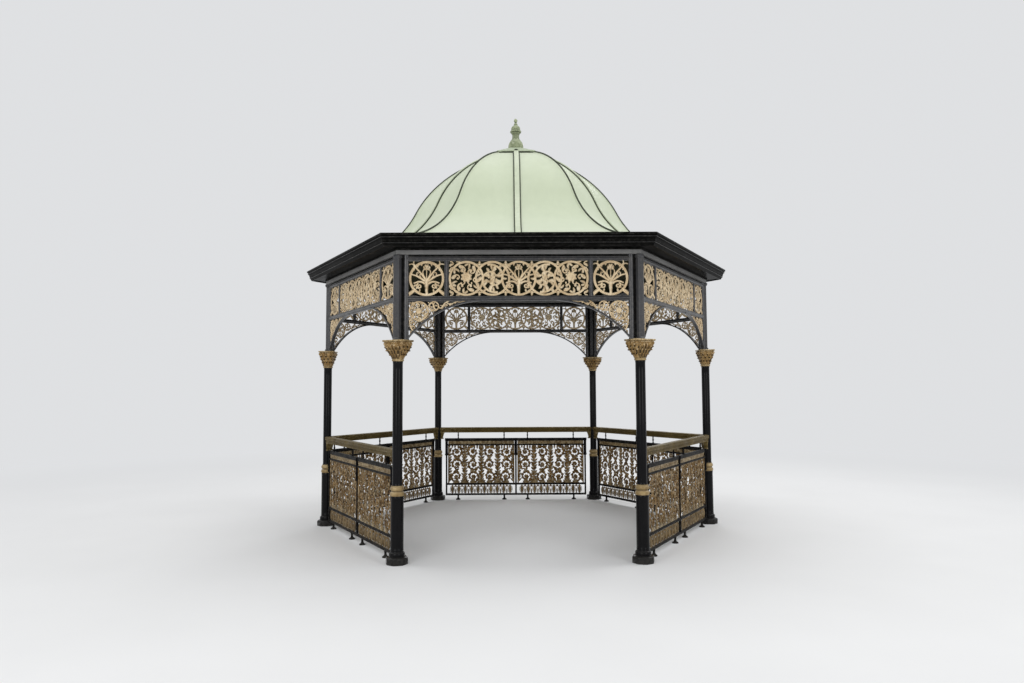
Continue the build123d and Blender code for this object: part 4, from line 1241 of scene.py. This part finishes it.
# ovals with small arches between their tops
for step in range(panel["spindles"]):
    x = panelMiddle + (step - (panel["spindles"] - 1) / 2) * panel["pitch"]
    draw(pale, linePoints((x, panel["ovalLow"]), (x, panel["ovalHigh"]), 10), panel["ovalWidths"],
         panel["ovalDepths"])
    halfWide, halfHigh = panel["ovalRim"]
    turns = [math.radians(angle) for angle in range(0, 360, 24)]
    oval = [(x + halfWide * math.cos(turn), panel["ovalMiddle"] + halfHigh * math.sin(turn))
            for turn in turns]
    draw(pale, oval, 0.0045, 0.8, True)
    if step < panel["spindles"] - 1:
        middle = x + panel["pitch"] / 2
        draw(lattice, arcPoints((middle, 0.161), 0.0145, 0, 180, 7), 0.0065, 0.9)
        drawLeaf(lattice, (middle, 0.0785), 90, 0.06, 0.012, 0, 1.0, 5)
        drawLeaf(lattice, (middle, 0.186), 270, 0.03, 0.015, 0, 1.0, 4)
for name, strokes, finish, nodes in (("railingScrollwork", lattice, "railingGold",
                                      nodesNamed("railing_panel_")),
                                     ("railingPalmsAndBeads", pale, "paleGold", [])):
    bm = newOrnament()
    castStrokes(bm, strokes + mirrorStrokes(strokes), panel["depth"], panel["boldness"])
    keepPiece(bm, name, finish, nodes, 30, 0, plan["railings"])
print("railing panels placed")


# cornice

cornice = {
    # apothem, height
    "profile": [(1.7062, 2.5735), (1.7062, 2.5895), (1.871, 2.5895), (1.871, 2.664), (1.876, 2.671),
                (1.884, 2.672), (1.9335, 2.672), (1.9365, 2.669), (1.937, 2.664), (1.9365, 2.6555),
                (1.933, 2.652), (1.929, 2.6505), (1.9265, 2.6475), (1.9255, 2.644), (1.9285, 2.6415),
                (1.9295, 2.6375), (1.927, 2.634), (1.9215, 2.632), (1.917, 2.626), (1.9145, 2.617),
                (1.913, 2.607), (1.9095, 2.601), (1.9065, 2.5985), (1.9105, 2.5965), (1.912, 2.5925),
                (1.9095, 2.5885), (1.9035, 2.586), (1.9005, 2.5815), (1.899, 2.5765), (1.8955, 2.572),
                (1.893, 2.5665), (1.8795, 2.566), (1.879, 2.5735)],
    # a black lip under the soffit, in front of the beam's top: painted shade for the dark band under the
    # fascia
    "shadeLip": [(1.7585, 2.561), (1.7655, 2.561), (1.767, 2.563), (1.767, 2.575), (1.7585, 2.575)],
    "beads": ((1.9295, 2.6378), (1.9118, 2.5928)), "beadRadius": 0.0016,
}
bm = bmesh.new()
hexRing(bm, cornice["profile"])
# the black lip in front of the beam's top, as painted shade
hexRing(bm, cornice["shadeLip"])
keepPiece(bm, "mouldedCornice", "corniceBlack", ["cornice"], 20, copies=None)
# thin beads on the fascia's two bead mouldings, in the lighter ironBlack: painted highlight lines along them
bm = bmesh.new()
for centre in cornice["beads"]:
    hexRing(bm, [around(centre, cornice["beadRadius"], angle) for angle in range(0, 360, 60)])
keepPiece(bm, "corniceHighlightBeads", "ironBlack", smooth=20, copies=None)
print("cornice made")


# dome

dome = {
    "start": (1.83805, 2.648), "heading": 168.8, "foot": (1.85005, 2.59), "sheet": 0.012,
    # radius as a share of the reach, turn, steps
    "arcs": ((1.061, -11.8, 10), (0.556, -42.5, 22), (0.5958, 48.4, 24)),
    "battenWidth": 0.068, "crownWidth": 0.047, "hipWidth": 0.031, "rollWidth": 0.0118, "battenHeight": 0.022,
    "battenFoot": 1.80005,
    "liningGap": 0.003, "liningBoard": 0.006, "liningFoot": 2.6, "boardStep": 3, "capOverlap": 0.074,
}


def domeCurve(offset=0.0):
    # (apothem, height, heading) up the dome; offset is to the left of the path, which is inward
    heading = dome["heading"]
    x, z = around(dome["start"], offset, heading + 90)
    places = [(x, z, heading)]
    for share, turn, steps in dome["arcs"]:
        radius = share * dome["start"][0] - math.copysign(offset, turn)
        side = math.copysign(radius, turn)
        for _ in range(steps):
            centre = around((x, z), side, heading + 90)
            heading += turn / steps
            x, z = around(centre, -side, heading + 90)
            places.append((x, z, heading))
    return places


curve = domeCurve()
eyeHeight = curve[-1][1] - dome["sheet"]
capApothem = curve[-1][0] + dome["capOverlap"]
outer = [(x, z) for x, z, _ in curve if z < eyeHeight - 0.0005]
inner = [(x, z) for x, z, _ in domeCurve(dome["sheet"]) if z < eyeHeight - 0.0015]
footX, footZ = dome["foot"]
bm = bmesh.new()
hexRing(bm, [dome["foot"]] + outer + [(outer[-1][0] - 0.008, eyeHeight - 0.0003)] + inner[::-1]
        + [(footX - dome["sheet"], footZ)])
keepPiece(bm, "domeSheets", "domeGreen", nodesNamed("dome_face_"), 18, copies=None)
# a lining of lapped boards under the sheets; its dark colour is partly its own and partly painted shade for
# the dome's shaded inside
liningCurve = domeCurve(dome["sheet"] + dome["liningGap"])
lining = [place for place in liningCurve if dome["liningFoot"] < place[1] < eyeHeight - 0.02]
boards = []
for index, (x, z, heading) in enumerate(lining):
    lap = dome["liningBoard"] * (0.7 + 0.5 * (index % dome["boardStep"]) / (dome["boardStep"] - 1))
    boards.append(around((x, z), lap, heading + 90))
bm = bmesh.new()
hexRing(bm, [(x, z) for x, z, _ in lining] + boards[::-1])
keepPiece(bm, "domeShadeLining", "liningAndShadeDark", smooth=12, copies=None)


def battenPiece(name, finish, path, section, angle, nodes=()):
    # carries a section up the dome in the upright plane at an angle; section is (sideways, off the dome)
    bm = bmesh.new()
    outward = outwardAt(math.radians(angle))
    side = Vector((-outward.y, outward.x, 0))
    rings = []
    for reach, height, heading in path:
        # the normal points off the dome
        normalAngle = math.radians(heading - 90)
        normal = outward * math.cos(normalAngle) + Vector((0, 0, math.sin(normalAngle)))
        spot = outward * reach + Vector((0, 0, height))
        rings.append([bm.verts.new(spot + side * a + normal * b) for a, b in section])
    skin(bm, rings)
    keepPiece(bm, name, finish, nodes, 25)


battenPath = [place for place in curve if capApothem - 0.004 < place[0] < dome["battenFoot"]]
wide = dome["battenWidth"] / 2
crownHalf = dome["crownWidth"] / 2
high = dome["battenHeight"]
crown = [(-crownHalf, -0.003), (crownHalf, -0.003), (crownHalf, high - 0.006),
         (crownHalf - 0.0035, high - 0.0015), (crownHalf - 0.01, high), (-crownHalf + 0.01, high),
         (-crownHalf + 0.0035, high - 0.0015), (-crownHalf, high - 0.006)]
flashing = [(-wide, -0.003), (wide, -0.003), (wide, 0.0095), (wide - 0.002, 0.011), (-wide + 0.002, 0.011),
            (-wide, 0.0095)]
battenPiece("faceBattens", "battenGreen", battenPath, crown, -90, ["face_battens"])
# a dark strip under each batten, wider than it, that shows as dark lines along both its edges
battenPiece("faceBattenDarkEdges", "darkOliveAndShade", battenPath, flashing, -90)
# hips: the path runs along the mitre, so its slope is gentler by the mitre's share
hipPath = []
for reach, height, heading in battenPath:
    rise = math.sin(math.radians(heading))
    run = math.cos(math.radians(heading)) / cos30
    hipPath.append((reach / cos30, height, math.degrees(math.atan2(rise, run))))
hipHalf = dome["hipWidth"] / 2
roll = dome["rollWidth"] / 2
hipCrown = [(-roll, -0.012), (roll, -0.012), (roll, 0.01), (roll * 0.7, 0.0155), (0.0, 0.0185),
            (-roll * 0.7, 0.0155), (-roll, 0.01)]
hipFlashing = [(-hipHalf, -0.014), (hipHalf, -0.014), (hipHalf, -0.002), (0.0, 0.0075), (-hipHalf, -0.002)]
battenPiece("hipBattens", "battenGreen", hipPath, hipFlashing, 0, ["corner_battens"])
battenPiece("hipRolls", "darkOliveAndShade", hipPath, hipCrown, 0)
print("dome made")


# cap and finial

cap = {
    "height": 0.124,
    # out from the cap's apothem, height above the dome's eye
    "edge": [(-0.004, 0.0), (0.0, 0.002), (0.0, 0.0125), (-0.0035, 0.0158)],
    # apothem, height above the dome's eye
    "slope": [(0.29, 0.029), (0.24, 0.051), (0.19, 0.0745), (0.14, 0.0975), (0.098, 0.116), (0.088, 0.1225),
              (0.083, 0.124)],
    # out from the cap's apothem, height
    "shadowBand": [(-0.03, -0.004), (-0.006, -0.014), (0.0012, -0.0125), (0.0016, 0.0035), (-0.02, 0.004)],
}
capTop = eyeHeight + cap["height"]
eaves = {
    "point": 0.012, "reach": 0.07, "droop": 0.004,
    "stations": (0.0, 0.06, 0.14, 0.3, 0.5, 0.7, 0.86, 0.94),      # shares of a side
}


def capRingPoints(apothem, height, pointed):
    # one level of the cap; its corners are drawn out into small points
    corners = []
    for side in range(6):
        first, second = (outwardAt(math.radians(60 * turn)) * apothem / cos30 for turn in (side, side + 1))
        for share in eaves["stations"]:
            spot = first.lerp(second, share)
            nearest = min(share, 1 - share) * (second - first).length
            pull = pointed * max(0.0, 1 - nearest / eaves["reach"]) ** 2
            spot *= 1 + eaves["point"] * pull / apothem
            corners.append((spot.x, spot.y, height - eaves["droop"] * pull))
    return corners


bm = bmesh.new()
levels = [(capApothem + out, eyeHeight + rise, 1.0) for out, rise in cap["edge"]]
levels += [(apothem, eyeHeight + rise, 0.0) for apothem, rise in cap["slope"]]
stackSections(bm, [capRingPoints(*level) for level in levels])
keepPiece(bm, "domeCapCover", "capGreen", ["dome_cap"], 12, copies=None)

# dark arches at the cap's edge over each face batten: painted shadow where the cap's shadow line rises over
# the batten
archShade = {
    "radius": 0.027, "band": 0.006, "steps": 14, "lift": 0.004,
    "layers": ((0.05, 0.92), (0.004, 0.97), (0.0, 0.9)),      # how far in, scale
}
bm = bmesh.new()
front = -(capApothem - 0.0006)
arch = [(math.cos(angle), math.sin(angle)) for angle in taper(0.0, math.pi, archShade["steps"] + 1)]
layers = []
for inset, scale in archShade["layers"]:
    layers.append([])
    for radius, points in ((archShade["radius"], arch), (archShade["radius"] - archShade["band"], arch[::-1])):
        layers[-1] += [(x * radius * scale, front + inset,
                        eyeHeight + archShade["lift"] + z * radius * scale) for x, z in points]
stackSections(bm, layers)
keepPiece(bm, "capShadowArches", "darkOliveAndShade", smooth=30)
# a thin dark band under the cap's edge: painted shadow of the cap on the sheet
bm = bmesh.new()
hexRing(bm, [(capApothem + out, eyeHeight + rise) for out, rise in cap["shadowBand"]])
keepPiece(bm, "capShadowBand", "darkOliveAndShade", smooth=30, copies=None)

finial = {
    "sides": 72, "lobes": (0.214, 0.048, 0.07),     # lowest height, span, depth
    # turn in leaves, low, high, half angle, lift
    "leaves": ((0.0, 0.008, 0.084, 0.33, 0.0012), (0.5, 0.045, 0.118, 0.25, 0.003)), "leavesInRow": 8,
    "profile": [(0.05, 0.0), (0.066, 0.0015), (0.0765, 0.008), (0.0805, 0.018), (0.0808, 0.03),
                (0.0803, 0.042), (0.0778, 0.055), (0.071, 0.072), (0.0605, 0.088), (0.0485, 0.102),
                (0.0415, 0.115), (0.039, 0.126), (0.0375, 0.138), (0.0372, 0.152), (0.0382, 0.163),
                (0.0425, 0.172), (0.0495, 0.178), (0.0505, 0.1815), (0.0475, 0.184), (0.049, 0.187),
                (0.0585, 0.1905), (0.06, 0.194), (0.06, 0.2015), (0.0575, 0.2055), (0.049, 0.209),
                (0.048, 0.213), (0.0492, 0.219), (0.0495, 0.225), (0.048, 0.237), (0.043, 0.248),
                (0.034, 0.257), (0.026, 0.262), (0.022, 0.268), (0.0205, 0.278), (0.017, 0.286),
                (0.012, 0.292), (0.0105, 0.298), (0.0125, 0.3025), (0.0162, 0.3075), (0.0182, 0.313),
                (0.0187, 0.3195), (0.0182, 0.326), (0.0155, 0.3325), (0.0108, 0.3375), (0.006, 0.341),
                (0.0035, 0.3438)],
}


def finialSwell(height, angle):
    # shallow lobes on the acorn
    low, span, depth = finial["lobes"]
    if 0 < height - low < span:
        return 1 - depth * math.sin(math.pi * (height - low) / span) * (1 - abs(math.cos(angle * 6)))
    return 1.0


def bulbRadius(height):
    for (lowRadius, low), (highRadius, top) in zip(finial["profile"], finial["profile"][1:]):
        if low <= height <= top:
            return lowRadius + (highRadius - lowRadius) * (height - low) / (top - low)


def bulbLeaf(bm, angle, low, top, halfAngle, lift):
    rows = 8
    front, back = [], []
    for row in range(rows):
        t = row / (rows - 1)
        height = low + (top - low) * t
        radius = bulbRadius(height)
        spread = halfAngle * math.sin(math.pi * (0.12 + 0.86 * t)) ** 0.8
        frontRow, backRow = [], []
        for lane in (-1, -0.5, 0, 0.5, 1):
            raised = radius + lift * (1 - 0.75 * abs(lane)) - 0.001
            for reach, found in ((raised, frontRow), (radius * 0.88, backRow)):
                a = angle + lane * spread
                found.append(bm.verts.new((reach * math.cos(a), reach * math.sin(a), capTop + height)))
        front.append(frontRow)
        back.append(backRow)
    skinLeaf(bm, front, back)


bm = bmesh.new()
lathe(bm, (0, 0, capTop), finial["profile"], finial["sides"], 0.0, finialSwell)
for leaf in range(finial["leavesInRow"]):
    for turn, *shape in finial["leaves"]:
        bulbLeaf(bm, 2 * math.pi * (leaf + turn) / finial["leavesInRow"], *shape)
keepPiece(bm, "turnedFinial", "finialGreen", ["finial"], 32, 0, copies=None)
print("cap and finial made")

# the beam keeps its own shape
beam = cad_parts["ring_beam"]
beam.data.materials.clear()
beam.data.materials.append(materials["beamGrey"])


# floor, light and camera

studio = {
    "floorRadius": 60.0, "backdrop": (0.74, 0.75, 0.765), "fadeStart": 3.2, "fadeEnd": 11.0,
    "ambient": 0.6, "ambientColour": (0.97, 0.985, 1.0),
    "lamps": (
        # name, place, aim, width and height, watts; the two in front are tall, for the upright gleam
        # on the shafts
        ("key", (-4.6, -9.6, 3.9), (0, 0, 2.6), (4.2, 6.4), 245.0),
        ("fill", (5.6, -9.0, 3.7), (0, 0, 2.4), (3.6, 6.0), 175.0),
        ("top", (0.0, 0.0, 10.0), (0, 0, 2.6), (6.0, 6.0), 150.0),
        ("left", (-8.0, 0.5, 8.0), (0, 0, 2.6), (5.0, 5.0), 125.0),
        ("right", (8.0, 0.5, 8.0), (0, 0, 2.6), (5.0, 5.0), 200.0),
        ("rim", (2.0, 9.0, 6.0), (0, 0, 2.0), (5.0, 5.0), 150.0),
    ),
}


def seenDirectly(tree):
    # 1 for rays from the camera, and for those that a gloss or a glass carries on
    path = addNode(tree, "ShaderNodeLightPath").outputs
    either = calculate(tree, "MAXIMUM", path["Is Camera Ray"], path["Is Glossy Ray"])
    return calculate(tree, "MAXIMUM", either, path["Is Transmission Ray"])


def blendShaders(tree, share, first, second):
    inputs = {0: share, 1: first.outputs[0], 2: second.outputs[0]}
    return addNode(tree, "ShaderNodeMixShader", inputs).outputs[0]


floorMaterial, tree, shader = newMaterial("studioFloor")
vector = objectCoordinates(tree)
fillInputs(tree, shader, {
    "Base Color": ramp(tree, noiseField(tree, vector, 0.7, 3, 0.5), (0.3, grey(0.84)), (0.7, grey(0.87))),
    "Roughness": 0.9, "Specular IOR Level": 0.1,
    "Normal": bumped(tree, noiseField(tree, vector, 30.0, 3, 0.5), 0.05, 0.002),
})
# away from the object the floor takes the backdrop's tone, so that no edge shows
distance = addNode(tree, "ShaderNodeVectorMath", {0: vector}, operation="LENGTH").outputs["Value"]
inputs = {"Value": distance, "From Min": studio["fadeStart"], "From Max": studio["fadeEnd"]}
fade = addNode(tree, "ShaderNodeMapRange", inputs, interpolation_type="SMOOTHSTEP")
amount = calculate(tree, "MULTIPLY", fade.outputs["Result"], seenDirectly(tree))
glow = addNode(tree, "ShaderNodeEmission", {"Color": studio["backdrop"]})
fillInputs(tree, tree.nodes["Material Output"], {"Surface": blendShaders(tree, amount, shader, glow)})
bm = bmesh.new()
bmesh.ops.create_circle(bm, cap_ends=True, segments=96, radius=studio["floorRadius"])
floorMesh = bpy.data.meshes.new("studioFloor")
bm.to_mesh(floorMesh)
bm.free()
linkPiece("studioFloor", floorMesh, floorMaterial)

world = bpy.data.worlds.new("studio")
bpy.context.scene.world = world
world.use_nodes = True
tree = world.node_tree
tree.nodes.clear()
inputs = {"Color": studio["ambientColour"], "Strength": studio["ambient"]}
light = addNode(tree, "ShaderNodeBackground", inputs)
seen = addNode(tree, "ShaderNodeBackground", {"Color": studio["backdrop"], "Strength": 1.0})
addNode(tree, "ShaderNodeOutputWorld", {"Surface": blendShaders(tree, seenDirectly(tree), light, seen)})

for name, place, aim, size, watts in studio["lamps"]:
    data = bpy.data.lights.new(name, "AREA")
    data.shape = "RECTANGLE"
    data.size, data.size_y = size
    data.energy = watts
    lamp = bpy.data.objects.new(name, data)
    lamp.visible_camera = False
    lamp.location = place
    lamp.rotation_euler = (Vector(aim) - Vector(place)).to_track_quat("-Z", "Y").to_euler()
    bpy.context.scene.collection.objects.link(lamp)

view = {"place": (-0.0857, -7.799, 1.4089), "yaw": 0.258, "pitch": 3.692, "roll": -0.263, "lens": 25.857}
cameraData = bpy.data.cameras.new("camera")
cameraData.sensor_width = 36.0
cameraData.lens = view["lens"]
cameraData.clip_end = 200.0
camera = bpy.data.objects.new("camera", cameraData)
yaw = Matrix.Rotation(math.radians(-view["yaw"]), 4, "Z")
pitch = Matrix.Rotation(math.radians(90 + view["pitch"]), 4, "X")
roll = Matrix.Rotation(math.radians(view["roll"]), 4, "Z")
camera.matrix_world = Matrix.Translation(view["place"]) @ yaw @ pitch @ roll
bpy.context.scene.collection.objects.link(camera)
bpy.context.scene.camera = camera
bpy.context.scene.view_settings.view_transform = "Standard"
print("studio set")
